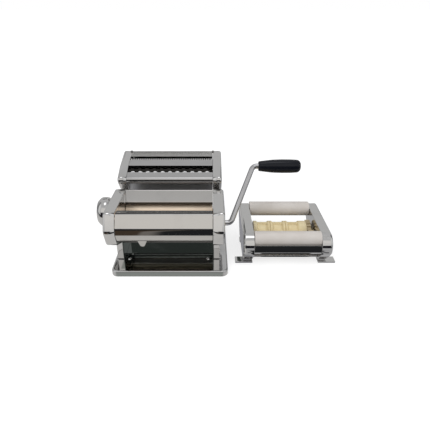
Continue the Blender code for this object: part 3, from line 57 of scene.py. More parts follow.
# General
MERGE = 0.00001
HALF_CLEAR = 0.075
HALF_WIDTH = 0.093
HEAD_HALF_WIDTH = 0.0905
COVER_HALF = 0.0746
COVER_PLAY = 0.0005
SHEET = 0.0012
SHEET_EDGE = 0.0002
SHELL = 0.0014
SHELL_RIM = 0.0040
SIDES = (("left", -1), ("right", 1))
CREASE = math.radians(32)
# A face wider than the first gets a strip as wide as the second inside its rim, so that it shades flat
BROAD = 0.0022
RIM_STRIP = 0.0002
ROUND_STEPS = 96
BAR_STEPS = 48
FOOT_STEPS = 40
SMALL_STEPS = 32
SOFT_CORNER = 0.0004
ROD_HALF = 0.0747
ROD_RADIUS = 0.0040

# The crank's square end goes into a socket behind a hole in a housing
SOCKET_HOLE = 0.0062
SOCKET_RADIUS = 0.0049

# Machine
BASE_HALF_WIDTH = 0.0955
BASE_REAR_Y = 0.166
BASE_TOP = 0.011
BASE_BOTTOM = 0.0012
BASE_CORNER = 0.011
BASE_EDGE = 0.003
FOOT_INSET = 0.018
FOOT_PROFILE = (
    (0.0, 0.0),
    (0.0, 0.0030),
    (0.0012, 0.0034),
    (0.0002, 0.0044),
    (0.0, 0.0080),
    (0.0010, 0.0090),
    (0.0085, 0.0086),
    (0.0092, 0.0080),
    (0.0092, 0.0),
)
SCREW_AT = (0.0665, 0.0275)
SCREW_PROFILE = ((0.0022, 0.0), (0.0020, 0.0009), (0.0013, 0.0021), (0.0003, 0.0028), (-0.0003, 0.0028))
HOUSING = (
    (-0.006, 0.1165, 0.0065),
    (-0.0203, 0.0885, 0.0085),
    (-0.010, 0.0620, 0.0065),
    (0.024, 0.0460, 0.0120),
    (0.1008, 0.0460, 0.0090),
    (0.1008, 0.0920, 0.0080),
    (0.0885, 0.1145, 0.0065),
)
FRONT_COVER = (
    # The first point starts a short flange behind the lip, which carries painted shade as a dark line
    (0.0080, 0.1132),
    (0.0022, 0.1134),
    (-0.0048, 0.1153),
    (-0.0178, 0.0940),
    (-0.0178, 0.0820),
    (-0.0110, 0.0700),
    (-0.0050, 0.0700),
)
TAB_AT = (-0.036, -0.0074, 0.070)
TAB = ((-0.00875, 0.0012), (0.00875, 0.0012), (0.0029, -0.012), (-0.0029, -0.012))
TAB_TIP = 0.0022
FEED_COVER = ((0.0877, 0.1030), (0.0865, 0.1130), (0.0700, 0.0975), (0.0716, 0.0930))
FRONT_GUIDE = ((0.0002, 0.1093), (0.0415, 0.0835))
REAR_SCRAPER_BACK = 0.0008
FRONT_ROLLER_AT = (0.051, 0.068)
REAR_ROLLER_AT = (0.080, 0.0745)
ROLLER_RADIUS = 0.0145
ROLLER_HALF = 0.0744
ROLLER_RIGHT_END = 0.0850
LOW_TIE_AT = (0.062, 0.030)
FRONT_TIE_AT = (0.004, 0.080)

# Crank
CRANK_RADIUS = 0.0045
CRANK_THROW = 0.098
CRANK_ANGLE = math.radians(55)
CRANK_STARTS = 0.068
CRANK_BENDS = (0.1052, 0.1436)
CRANK_BEND_RADIUS = 0.010
CRANK_BEND_STEPS = 14
CRANK_END_EDGE = 0.0008
GRIP_STARTS = 0.1530
GRIP_ENDS = 0.2250
CRANK_ENDS = GRIP_ENDS - 0.0046

# Cutter head
HEAD = (
    (0.0982, 0.1205, 0.0065),
    (0.0990, 0.1285, 0.0070),
    (0.1295, 0.1410, 0.0090),
    (0.1800, 0.1520, 0.0070),
    (0.1865, 0.1440, 0.0065),
    (0.1865, 0.1220, 0.0090),
    (0.1500, 0.0900, 0.0110),
    (0.1225, 0.0900, 0.0065),
)
HEAD_FRONT = ((0.1231, 0.0912), (0.0995, 0.1209), (0.1001, 0.1277), (0.1146, 0.1337))
HEAD_MIDDLE = ((0.1300, 0.1401), (0.1484, 0.1443))
HEAD_REAR = ((0.1597, 0.1466), (0.1796, 0.1507), (0.1853, 0.1436), (0.1853, 0.1225), (0.1496, 0.0912))
WIDE_FRONT_AT = (0.1194, 0.1213)
WIDE_REAR_AT = (0.1346, 0.1277)
FINE_FRONT_AT = (0.1509, 0.1295)
FINE_REAR_AT = (0.1653, 0.1325)
WIDE_PITCH = 0.013
FINE_PITCH = 0.004
# Each comb: its teeth from root to tip, their pitch, and their widths there
WIDE_TEETH = ((0.1140, 0.1336), (0.1170, 0.1347), WIDE_PITCH, 0.0085, 0.0034)
FINE_TEETH = ((0.1479, 0.1443), (0.1530, 0.1452), FINE_PITCH, 0.0018, 0.0014)
# Each pair of cutters: its span, ring pitch, core and ring radius, half a ring at its foot and rim, steps round,
# edge, and where the driving and the driven cutter lie
CUTTERS = (
    ("wide", 0.150, WIDE_PITCH, 0.0070, 0.0086, 0.0031, 0.0031, 48, 0.00025, WIDE_FRONT_AT, WIDE_REAR_AT),
    ("fine", 0.147, FINE_PITCH / 2, 0.0060, 0.0071, 0.0006, 0.0005, 32, 0.0, FINE_REAR_AT, FINE_FRONT_AT),
)
CUTTER_JOURNAL = 0.0035
CUTTER_LEFT_END = -0.0850
CUTTER_RIGHT_END = 0.0774
HEAD_TIE_AT = (0.1480, 0.1060)
CATCH_AT = (0.0752, 0.1735, 0.1513)
CATCH_SIZE = (0.0042, 0.0036, 0.0044)

# Ravioli attachment
RAVIOLI_X = 0.1995
RAVIOLI_HALF_CLEAR = 0.056
RAVIOLI_HALF_WIDTH = 0.074
RAVIOLI_RIM = 0.0045
RAVIOLI_SIDE = (
    (0.0155, 0.0575, 0.0221),
    (0.0155, 0.0275, 0.01175),
    (0.0330, 0.0070, 0.0065),
    (0.1120, 0.0070, 0.0130),
    (0.1520, 0.0360, 0.0065),
    (0.1520, 0.0575, 0.0065),
)
GUARD = ((0.0170, 0.0441), (0.0176, 0.0290), (0.0205, 0.0262))
GUARD_HALF = 0.0556
GUIDE_FRONT_AT = (0.033, 0.0476)
GUIDE_REAR_AT = (0.136, 0.052)
GUIDE_RADIUS = 0.0132
RAVIOLI_SHAFT_END = 0.0584
TIE_BAR_AT = (0.0400, 0.0101)
TIE_BAR_HALF = 0.0557
TIE_BAR_RADIUS = 0.0030
MOULD_FRONT_AT = (0.060, 0.026)
MOULD_REAR_AT = (0.097, 0.026)
MOULD_START = -RAVIOLI_HALF_CLEAR + 0.0052
MOULD_END = MOULD_START + 0.095
MOULD_RADIUS = 0.0182
MOULD_GROOVE = 0.0166
MOULD_CELL = 0.0172
MOULD_JOURNAL = 0.0065
MOULD_EDGE = 0.0003
MOULD_STEPS = 90
CELL_PITCH = 0.0276
CELL_SHIFT = -0.0038
POCKETS_ROUND = 5
POCKET_TURN = 12
POCKET_GAP = 4
MOULD_GEAR_X = 0.0446
MOULD_GEAR_WIDTH = 0.008
MOULD_GEAR_RADIUS = 0.0185
MOULD_GEAR_TEETH = 16

# Camera and lamps
CAMERA_AT = Vector((0.070, -0.545, 0.400))
CAMERA_TILT = math.radians(62.0)
CAMERA_LENS = 33.82
CAMERA_SHIFT = 0.0116
LAMPS = (
    ("key", (-0.9, -1.0, 1.5), 0.9, 16.0),
    ("fill", (1.3, -0.5, 1.1), 0.6, 6.0),
)

# The table that polished metal sees: bands along X and Y, each with its two soft edges, and colours
RIGHT_X = ((0.058, 0.066), (0.190, 0.198))
NEAR_Y = ((-0.165, -0.145), (-0.094, -0.089))
FAR_Y = (-0.232, -0.218)
# MIDDLE_X and UNDER_Y bound a painted shadow that metal sees on the table under the ravioli attachment
MIDDLE_X = ((0.074, 0.080), (0.160, 0.166))
UNDER_Y = ((-0.082, -0.074), (0.050, 0.070))
CORNER_X = ((0.050, 0.080), (0.300, 0.360))
CORNER_Y = ((0.18, 0.22), (0.45, 0.50))
BETWEEN_X = ((0.014, 0.024), (0.060, 0.066))
BETWEEN_Y = ((-0.075, -0.060), (0.12, 0.20))
STREAK_X = ((-0.155, -0.142), (-0.132, -0.100))
BROWN_X = ((-0.36, -0.26), (-0.16, -0.10))
TABLE_LEFT = (0.64, 0.63, 0.62)
TABLE_RIGHT = (0.46, 0.46, 0.47)
TABLE_ASIDE = (0.32, 0.32, 0.33)
TABLE_BETWEEN = (0.30, 0.30, 0.32)
TABLE_CORNER = (0.10, 0.10, 0.11)
STRIP_DARK = (0.020, 0.021, 0.023)
STRIP_BROWN = (0.066, 0.048, 0.034)
STREAK_PALE = (0.42, 0.40, 0.38)
TABLE_MATT = (0.40, 0.40, 0.40)
TABLE_GLOW = (0.74, 0.26)

# The room that polished metal sees: greys by height, dimmer and brighter sides by turn, and colours
ROOM_BY_HEIGHT = (
    (0.00, (0.40, 0.40, 0.41)),
    (0.50, (0.42, 0.42, 0.43)),
    (0.58, 0.52),
    (0.72, 0.58),
    (0.80, 0.56),
    (0.92, (0.60, 0.60, 0.61)),
    (1.00, 0.56),
)
DIM_SIDES = ((0.27, 0.0), (0.29, 0.7), (0.33, 0.5), (0.36, 0.0), (0.62, 0.0), (0.66, 0.8), (0.71, 0.9), (0.73, 0.0))
LIT_SIDES = ((0.10, 0.0), (0.14, 0.45), (0.25, 0.8), (0.27, 0.0), (0.73, 0.0), (0.75, 0.8), (0.86, 0.45), (0.90, 0.0))
GAP_TURN = ((-0.40, -0.38), (0.010, 0.022))
GAP_UP = ((0.480, 0.505), (0.61, 0.66))
WALL_TURN = (2.45, 2.70)
WALL_UP = ((0.34, 0.42), (0.74, 0.86))
ROOM_LIT = (1.0, 1.0, 1.0)
ROOM_DIM = (0.045, 0.045, 0.050)
ROOM_GAP = (0.055, 0.062, 0.058)
ROOM_WALL = (0.84, 0.82, 0.80)
ROOM_LOW = (0.012, 0.012, 0.016)
ROOM_ABOVE = (1.9, 1.9, 1.95)
ROOM_PLAIN = (0.60, 0.60, 0.61)


class Wire:
    """An output socket that can be used in sums."""

    def __init__(self, recipe, socket):
        self.recipe = recipe
        self.socket = socket

    def __add__(self, other):
        return self.recipe.sum("ADD", self, other)

    def __sub__(self, other):
        return self.recipe.sum("SUBTRACT", self, other)

    def __mul__(self, other):
        return self.recipe.sum("MULTIPLY", self, other)

    def __rsub__(self, other):
        return self.recipe.sum("SUBTRACT", other, self)

    __radd__ = __add__
    __rmul__ = __mul__


class Recipe:
    """The node tree of one finish, floor or sky."""

    def __init__(self, tree):
        self.tree = tree
        tree.nodes.clear()

    def node(self, kind, settings=None, output=0, **inputs):
        """One node: its settings first, then the values or links of its sockets."""
        made = self.tree.nodes.new("ShaderNode" + kind)
        for name, value in (settings or {}).items():
            if name == "stops":
                self.set_stops(made.color_ramp, value)
            else:
                setattr(made, name, value)
        for name, value in inputs.items():
            key = int(name[1:]) if name[1:].isdigit() else name.replace("_", " ")
            self.feed(made.inputs[key], value)
        return Wire(self, made.outputs[output]) if made.outputs else None

    def set_stops(self, ramp, stops):
        """Places and colours of a colour ramp. A number alone is a grey."""
        while len(ramp.elements) < len(stops):
            ramp.elements.new(1.0)
        for element, (position, colour) in zip(ramp.elements, stops):
            element.position = position
            element.color = (*colour, 1.0) if isinstance(colour, tuple) else (colour, colour, colour, 1.0)

    def feed(self, socket, value):
        """Link a wire to a socket, or set the socket's own value."""
        if isinstance(value, Wire):
            self.tree.links.new(value.socket, socket)
        elif isinstance(value, tuple) and len(value) == 3 and socket.type == "RGBA":
            socket.default_value = (*value, 1.0)
        else:
            socket.default_value = value

    def sum(self, operation, first, second=0.0):
        """One step of arithmetic on numbers."""
        return self.node("Math", {"operation": operation}, _0=first, _1=second)

    def place(self):
        """The point on the piece, in metres."""
        return self.node("TexCoord", output="Object")

    def split(self, vector):
        """The three parts of a vector."""
        parts = self.node("SeparateXYZ", Vector=vector)
        outputs = parts.socket.node.outputs
        return [Wire(self, outputs[index]) for index in range(3)]

    def stretch(self, vector, scale):
        """A point scaled along each axis, so that a pattern comes out stretched."""
        return self.node("Mapping", Vector=vector, Scale=scale)

    def noise(self, vector, scale, detail=3.0, roughness=0.5):
        """Even cloudy noise about 0.5."""
        return self.node("TexNoise", Vector=vector, Scale=scale, Detail=detail, Roughness=roughness)

    def blend(self, share, first, second):
        """A colour between two colours."""
        settings = {"data_type": "RGBA"}
        return self.node("Mix", settings, output=2, Factor=share, _6=first, _7=second)

    def window(self, value, low, high):
        """Zero below the low limit, one above the high limit, smooth between."""
        settings = {"interpolation_type": "SMOOTHSTEP"}
        return self.node("MapRange", settings, Value=value, From_Min=low, From_Max=high)

    def band(self, value, rise, fall):
        """One between two soft edges, zero outside them."""
        return self.window(value, *rise) * (1.0 - self.window(value, *fall))


class Finish(Recipe):
    """A Principled material under construction."""

    def __init__(self, name):
        self.material = bpy.data.materials.new(name)
        self.material.use_nodes = True
        super().__init__(self.material.node_tree)

    def surface(self, bump=None, depth=0.0001, **inputs):
        """Close the material with its Principled shader."""
        if bump is not None:
            inputs["Normal"] = self.node("Bump", Height=bump, Distance=depth, Strength=1.0)
        shader = self.node("BsdfPrincipled", **inputs)
        self.node("OutputMaterial", Surface=shader)
        return self.material


def mirror_chrome(
    name, tint=(0.66, 0.655, 0.645), roughness=0.035, wave=0.15, shaded=None, shade=(0.1, 0.1, 0.1), dull=0.0
):
    """Polished plate: faint waves from the press, wiping marks and a little haze, and painted shade where a mask of
    shaded places is given.
    """
    finish = Finish(name)
    at = finish.place()
    haze = finish.noise(at, 45.0, 4.0)
    wiping = finish.noise(finish.stretch(at, (60.0, 900.0, 900.0)), 1.0, 2.0)
    smudge = finish.window(finish.noise(at, 22.0, 2.0), 0.52, 0.78)
    rough = roughness + 0.02 * haze + 0.02 * wiping + 0.07 * smudge
    colour = finish.blend(smudge, tint, tuple(0.90 * part for part in tint))
    # Painted shade: the colour goes to the shade colour, and the plate grows duller, where the mask says
    if shaded is not None:
        share = shaded(finish, finish.split(at))
        colour = finish.blend(share, colour, shade)
        rough = rough + dull * share
    swell = wave * finish.noise(at, 14.0, 1.0) + 0.02 * wiping
    return finish.surface(bump=swell, depth=0.0004, Base_Color=colour, Metallic=1.0, Roughness=rough)


def satin_steel(name, tint=(0.47, 0.46, 0.45), roughness=0.26, grain=(40.0, 1400.0, 1400.0)):
    """Steel with a fine drawn grain."""
    finish = Finish(name)
    at = finish.place()
    lines = finish.noise(finish.stretch(at, grain), 1.0, 3.0)
    cloud = finish.noise(at, 60.0, 3.0)
    rough = roughness + 0.14 * (lines - 0.5) + 0.10 * (cloud - 0.5)
    share = finish.window(0.6 * lines + 0.4 * cloud, 0.35, 0.65)
    colour = finish.blend(share, tuple(0.84 * part for part in tint), tint)
    return finish.surface(bump=lines, depth=0.00002, Base_Color=colour, Metallic=1.0, Roughness=rough)


def ground_steel(name, tint, roughness=0.20, metal=1.0):
    """A ground roller: rings round its axis and a little dried flour."""
    finish = Finish(name)
    at = finish.place()
    rings = finish.noise(finish.stretch(at, (5200.0, 24.0, 24.0)), 1.0, 2.0)
    dust = finish.window(finish.noise(at, 90.0, 4.0, 0.6), 0.56, 0.80)
    colour = finish.blend(dust, tint, tuple(min(1.0, 1.12 * part) for part in tint))
    rough = roughness + 0.12 * (rings - 0.5) + 0.12 * dust
    return finish.surface(bump=rings, depth=0.000015, Base_Color=colour, Metallic=metal, Roughness=rough)


def stippled_steel(name, tint=(0.66, 0.65, 0.63)):
    """Plate with a fine grid of pressed dots."""
    finish = Finish(name)
    at = finish.place()
    across, along, _ = finish.split(at)
    pitch = 0.0021
    wave_x = finish.sum("SINE", across * (2 * math.pi / pitch))
    wave_y = finish.sum("SINE", along * (2 * math.pi / pitch))
    dots = finish.window(wave_x * wave_y, 0.15, 0.75)
    cloud = finish.noise(at, 60.0, 3.0)
    colour = finish.blend(dots, tint, tuple(0.62 * part for part in tint))
    rough = 0.16 + 0.10 * cloud + 0.14 * dots
    return finish.surface(bump=1.0 - dots, depth=0.00012, Base_Color=colour, Metallic=1.0, Roughness=rough)


def plain_metal(name, tint, roughness=0.38):
    """Machined metal with a thin film of oil."""
    finish = Finish(name)
    at = finish.place()
    cloud = finish.noise(at, 220.0, 4.0, 0.6)
    film = finish.window(finish.noise(at, 40.0, 2.0), 0.45, 0.75)
    colour = finish.blend(cloud, tuple(0.72 * part for part in tint), tint)
    rough = roughness + 0.16 * (cloud - 0.5) - 0.12 * film
    return finish.surface(bump=cloud, depth=0.00002, Base_Color=colour, Metallic=1.0, Roughness=rough)


def moulded_plastic(name, tint, shade, roughness=0.40, gloss=0.0, shine=0.5):
    """Moulded plastic: a slight mottle, a fine skin and a few handling marks."""
    finish = Finish(name)
    at = finish.place()
    mottle = finish.noise(at, 35.0, 3.0)
    skin = finish.noise(at, 900.0, 2.0)
    marks = finish.window(finish.noise(finish.stretch(at, (30.0, 260.0, 260.0)), 1.0, 3.0), 0.62, 0.75)
    colour = finish.blend(finish.window(mottle, 0.3, 0.7), tint, shade)
    rough = roughness + 0.10 * (mottle - 0.5) + 0.08 * marks
    return finish.surface(
        bump=skin,
        depth=0.000025,
        Base_Color=colour,
        Roughness=rough,
        Specular_IOR_Level=shine,
        Coat_Weight=gloss,
        Coat_Roughness=0.08,
    )


def soft_rubber(name):
    """Dull black rubber with a fine grain and dust in it."""
    finish = Finish(name)
    at = finish.place()
    grain = finish.noise(at, 1200.0, 2.0)
    dust = finish.window(finish.noise(at, 120.0, 4.0, 0.6), 0.55, 0.75)
    colour = finish.blend(dust, (0.016, 0.016, 0.017), (0.05, 0.048, 0.045))
    rough = 0.72 + 0.16 * (grain - 0.5)
    return finish.surface(bump=grain, depth=0.00004, Base_Color=colour, Roughness=rough)


def below(height, reach):
    """Painted shade below a height."""
    return lambda finish, parts: 1.0 - finish.window(parts[2], height - reach, height + reach)


def inner_leg(finish, parts):
    """Painted shade on the side of a leg that faces the other leg, below the housings."""
    across = finish.sum("ABSOLUTE", parts[0] - SET_ORIGIN.x)
    return (1.0 - finish.window(across, 0.0758, 0.0764)) * (1.0 - finish.window(parts[2], 0.046, 0.052))


def cover_lip(finish, parts):
    """Painted shade on the fold and the rear edge of the front cover's lip."""
    along = parts[1] - SET_ORIGIN.y
    behind = finish.window(along, 0.0026, 0.0032)
    return finish.sum("MAXIMUM", behind, finish.window(parts[2], 0.1144, 0.1148))


def under_works(finish, parts):
    """Painted shade on the middle of the base tray, under the rollers, where the dark works are mirrored, and on its
    front rim.
    """
    across = parts[0] - SET_ORIGIN.x
    inside = finish.band(across, (-0.078, -0.074), (0.074, 0.078))
    inside = inside * finish.band(parts[1], (-0.088, -0.082), (0.016, 0.026))
    return finish.sum("MAXIMUM", inside, 1.0 - finish.window(parts[1], -0.0928, -0.0918))


COVER_TINT = (0.62, 0.605, 0.58)
HEAD_TINT = (0.56, 0.555, 0.55)
CHROME = mirror_chrome("polished_chrome")
# Painted shade on the legs' inner sides, below the housings
LEG_CHROME = mirror_chrome("leg_chrome", shaded=inner_leg, shade=(0.06, 0.07, 0.065))
# Painted shade on the front cover's lip and its rear flange
COVER_CHROME = mirror_chrome("cover_chrome", COVER_TINT, 0.04, 0.12, cover_lip, (0.07, 0.07, 0.07))
# Painted shade along the feed cover's lower lip
FEED_CHROME = mirror_chrome("feed_chrome", COVER_TINT, 0.04, 0.12, below(0.0965, 0.0007), (0.05, 0.05, 0.05))
# Painted shade: the head's front sheet is darker and duller below its nose
HEAD_CHROME = mirror_chrome("head_chrome", HEAD_TINT, 0.04, 0.12, below(0.1215, 0.0008), (0.40, 0.40, 0.41), 0.22)
# Painted shade on the base tray under the works and on its front rim
BASE_CHROME = mirror_chrome("base_chrome", (0.60, 0.60, 0.60), 0.03, 0.10, under_works, (0.31, 0.335, 0.32))
SATIN = satin_steel("satin_steel")
# Painted shade: a darker copy of the satin steel for the front guide and the scrapers, which sit in shade under the
# covers
PAINTED_SHADE_STEEL = satin_steel("satin_steel_painted_shade", tint=(0.16, 0.155, 0.15), roughness=0.30)
# Painted highlight: a near-white copy of the satin steel, so that the comb teeth show as bright ticks
PAINTED_HIGHLIGHT_STEEL = satin_steel("satin_steel_painted_highlight", tint=(0.98, 0.98, 0.97), roughness=0.40)
ROD_STEEL = mirror_chrome("crank_plating", tint=(0.54, 0.54, 0.55), roughness=0.05, wave=0.05)
ROLLER = ground_steel("ground_roller", (0.95, 0.79, 0.62), 0.34, 0.55)
# Painted shade: the cutters get a near-black tint, as they sit deep in the head's slots
CUTTER = ground_steel("cutter_steel", (0.032, 0.030, 0.028), 0.24)
STIPPLED = stippled_steel("stippled_plate")
GEAR = plain_metal("gear_steel", (0.30, 0.30, 0.30))
BRASS = plain_metal("bush_brass", (0.60, 0.44, 0.20), 0.32)
BLACK = moulded_plastic("black_grip", (0.005, 0.006, 0.010), (0.008, 0.009, 0.013), 0.20, 0.14, 0.16)
WHITE = moulded_plastic("white_roller", (0.62, 0.585, 0.55), (0.57, 0.53, 0.49), 0.38)
# Painted shade: the gears get a darker copy of the moulds' cream, as they sit in shade at the rollers' end
PAINTED_SHADE_CREAM = moulded_plastic("cream_gear_painted_shade", (0.54, 0.45, 0.29), (0.47, 0.38, 0.24), 0.40)
CREAM = moulded_plastic("cream_mould", (0.76, 0.66, 0.42), (0.69, 0.58, 0.35), 0.36)
RUBBER = soft_rubber("foot_rubber")


def piece(name, bm, finish, body, stands_for=(), wall=0.0, side=0.0, edge=0.0, placed=False):
    """Write a bmesh as one finished piece that rides on a body."""
    bmesh.ops.remove_doubles(bm, verts=bm.verts, dist=MERGE)
    if not placed:
        bmesh.ops.recalc_face_normals(bm, faces=bm.faces)
        bmesh.ops.translate(bm, vec=SET_ORIGIN, verts=bm.verts)
    if not edge:
        broad = [face for face in bm.faces if len(face.verts) > 3 and face.calc_area() > BROAD * longest_edge(face)]
        bmesh.ops.inset_individual(bm, faces=broad, thickness=RIM_STRIP, use_even_offset=True)
    mesh = bpy.data.meshes.new(name)
    bm.to_mesh(mesh)
    bm.free()
    mesh.materials.append(finish)
    mesh.shade_smooth()
    mesh.set_sharp_from_angle(angle=CREASE)
    made = bpy.data.objects.new(name, mesh)
    bpy.context.scene.collection.objects.link(made)
    if wall:
        solid = made.modifiers.new("wall", "SOLIDIFY")
        solid.thickness = wall
        solid.offset = side
        solid.use_even_offset = True
    if edge:
        bevel = made.modifiers.new("edge", "BEVEL")
        bevel.width = edge
        bevel.segments = 2
        bevel.limit_method = "ANGLE"
        bevel.angle_limit = math.radians(40)
        bevel.harden_normals = True
    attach(made, body)
    if stands_for:
        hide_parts(*stands_for)
    return made
def longest_edge(face):
    """The length of a face's longest edge."""
    return max(edge.calc_length() for edge in face.edges)


def sheet_piece(name, bm, finish, body, node):
    """A bent sheet given its thickness and soft edges, in place of a CAD node."""
    return piece(name, bm, finish, body, (node,), SHEET, 0, SHEET_EDGE)
def dress(finish, *nodes):
    """Give CAD nodes that stay a finish."""
    for node in nodes:
        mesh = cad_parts[node].data
        mesh.materials.clear()
        mesh.materials.append(finish)


def only_verts(geom):
    """The vertices in what an operator gave back."""
    return [item for item in geom if isinstance(item, bmesh.types.BMVert)]


def draw_out(bm, face, way):
    """Draw a flat face out into a solid."""
    drawn = bmesh.ops.extrude_face_region(bm, geom=[face])["geom"]
    bmesh.ops.translate(bm, vec=way, verts=only_verts(drawn))


def outline(corners, near_x, far_x, steps=8):
    """A flat outline in the YZ plane drawn along X, with its corners rounded."""
    bm = bmesh.new()
    face = bm.faces.new([bm.verts.new((near_x, y, z)) for y, z, _ in corners])
    draw_out(bm, face, (far_x - near_x, 0, 0))
    count = len(corners)
    for index, (y, z, radius) in enumerate(corners):
        corner = Vector((y, z))
        back = Vector(corners[index - 1][:2]) - corner
        ahead = Vector(corners[(index + 1) % count][:2]) - corner
        reach = radius / math.tan(back.angle(ahead) / 2)
        edges = [edge for edge in bm.edges if all((vert.co.yz - corner).length < MERGE for vert in edge.verts)]
        round_edges(bm, edges, reach, steps)
    return bm


def round_edges(bm, edges, width, steps):
    """Round edges of a solid."""
    bmesh.ops.bevel(
        bm,
        geom=edges,
        offset=width,
        offset_type="OFFSET",
        segments=steps,
        profile=0.5,
        affect="EDGES",
        clamp_overlap=True,
        material=-1,
    )


def face_rim(bm, x):
    """The edges round a flat end face."""
    return [
        edge
        for edge in bm.edges
        if all(abs(vert.co.x - x) < MERGE for vert in edge.verts) and edge.calc_face_angle(0) > math.radians(30)
    ]


def face_at(bm, x):
    """The flat faces that lie across X at one place."""
    return [face for face in bm.faces if all(abs(vert.co.x - x) < MERGE for vert in face.verts)]


def shell(side, corners, near_x, far_x, rim, holes):
    """A housing of one side, open on its near side. The right one has round holes in its far face."""
    bm = outline(corners, near_x, far_x)
    round_edges(bm, face_rim(bm, far_x), rim, 8)
    bmesh.ops.delete(bm, geom=face_at(bm, near_x), context="FACES")
    if side > 0:
        flat = face_at(bm, far_x)
        border = {edge for face in flat for edge in face.edges}
        bmesh.ops.delete(bm, geom=flat, context="FACES_ONLY")
        for y, z in holes:
            ring = bmesh.ops.create_circle(bm, segments=SMALL_STEPS, radius=SOCKET_HOLE)["verts"]
            bmesh.ops.rotate(bm, cent=(0, 0, 0), matrix=Matrix.Rotation(math.pi / 2, 3, "Y"), verts=ring)
            bmesh.ops.translate(bm, vec=(far_x, y, z), verts=ring)
            border.update(edge for vert in ring for edge in vert.link_edges)
        bmesh.ops.triangle_fill(bm, use_beauty=True, use_dissolve=False, edges=list(border))
        bmesh.ops.recalc_face_normals(bm, faces=bm.faces)
        flat = face_at(bm, far_x)
        bmesh.ops.inset_region(bm, faces=flat, use_boundary=True, use_even_offset=True, thickness=RIM_STRIP, depth=0.0)
    else:
        bmesh.ops.scale(bm, vec=(-1, 1, 1), verts=bm.verts)
    return bm


def moved(bm, x=0.0, y=0.0, z=0.0):
    """The same shape moved."""
    bmesh.ops.translate(bm, vec=(x, y, z), verts=bm.verts)
    return bm


def bent_sheet(profile, near_x, far_x, fold=0.001, steps=4):
    """An open profile of (y, z) points drawn along X, with its folds rounded."""
    bm = bmesh.new()
    verts = [bm.verts.new((near_x, y, z)) for y, z in profile]
    edges = [bm.edges.new(pair) for pair in zip(verts, verts[1:])]
    drawn = bmesh.ops.extrude_edge_only(bm, edges=edges)["geom"]
    bmesh.ops.translate(bm, vec=(far_x - near_x, 0, 0), verts=only_verts(drawn))
    folds = [edge for edge in bm.edges if len(edge.link_faces) == 2]
    round_edges(bm, folds, fold, steps)
    return bm


def turned(profile, at=(0, 0), steps=ROUND_STEPS):
    """A profile of (x, radius) points spun about the X direction."""
    bm = bmesh.new()
    verts = [bm.verts.new((x, 0, radius)) for x, radius in profile]
    edges = [bm.edges.new(pair) for pair in zip(verts, verts[1:])]
    spin(bm, verts + edges, steps)
    bmesh.ops.translate(bm, vec=(0, *at), verts=bm.verts)
    return bm


def turned_upright(profile, steps):
    """A profile of (height, radius) points spun about the Z direction."""
    bm = turned(profile, steps=steps)
    bmesh.ops.rotate(bm, cent=(0, 0, 0), matrix=Matrix.Rotation(-math.pi / 2, 3, "Y"), verts=bm.verts)
    return bm


def plain_bar(half, radius, at, steps):
    """A straight round bar between two sides."""
    profile = [(-half, 0.0), (-half, radius), (half, radius), (half, 0.0)]
    return turned(soft_corners(profile, SOFT_CORNER), at, steps)


def spin(bm, geom, steps):
    """Turn a profile through a full circle about X and close its seam."""
    bmesh.ops.spin(
        bm,
        geom=geom,
        cent=(0, 0, 0),
        axis=(1, 0, 0),
        angle=2 * math.pi,
        steps=steps,
        use_merge=True,
    )
    bmesh.ops.remove_doubles(bm, verts=bm.verts, dist=MERGE)


def soft_corners(profile, radius, steps=3):
    """A profile of (x, radius) points with its inner corners cut round."""
    points = [Vector(point) for point in profile]
    result = [points[0]]
    for before, corner, after in zip(points, points[1:], points[2:]):
        back = (before - corner).normalized()
        ahead = (after - corner).normalized()
        reach = min(radius, (before - corner).length / 2.2, (after - corner).length / 2.2)
        for step in range(steps + 1):
            share = step / steps
            first = corner + back * reach * (1 - share) ** 2
            result.append(first + ahead * reach * share**2)
    result.append(points[-1])
    return [tuple(point) for point in result]


def softened(name, node, finish, body, edge=0.0003, shift=(0, 0, 0)):
    """A CAD node's own shape with its triangles joined and its edges rounded."""
    bm = bmesh.new()
    bm.from_mesh(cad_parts[node].data)
    bmesh.ops.remove_doubles(bm, verts=bm.verts, dist=MERGE)
    bmesh.ops.dissolve_limit(bm, angle_limit=math.radians(1), verts=bm.verts, edges=bm.edges)
    sharp = [item for item in bm.edges if item.is_manifold and item.calc_face_angle(0) > math.radians(35)]
    round_edges(bm, sharp, edge, 2)
    moved(bm, *shift)
    return piece(name, bm, finish, body, (node,), placed=True)


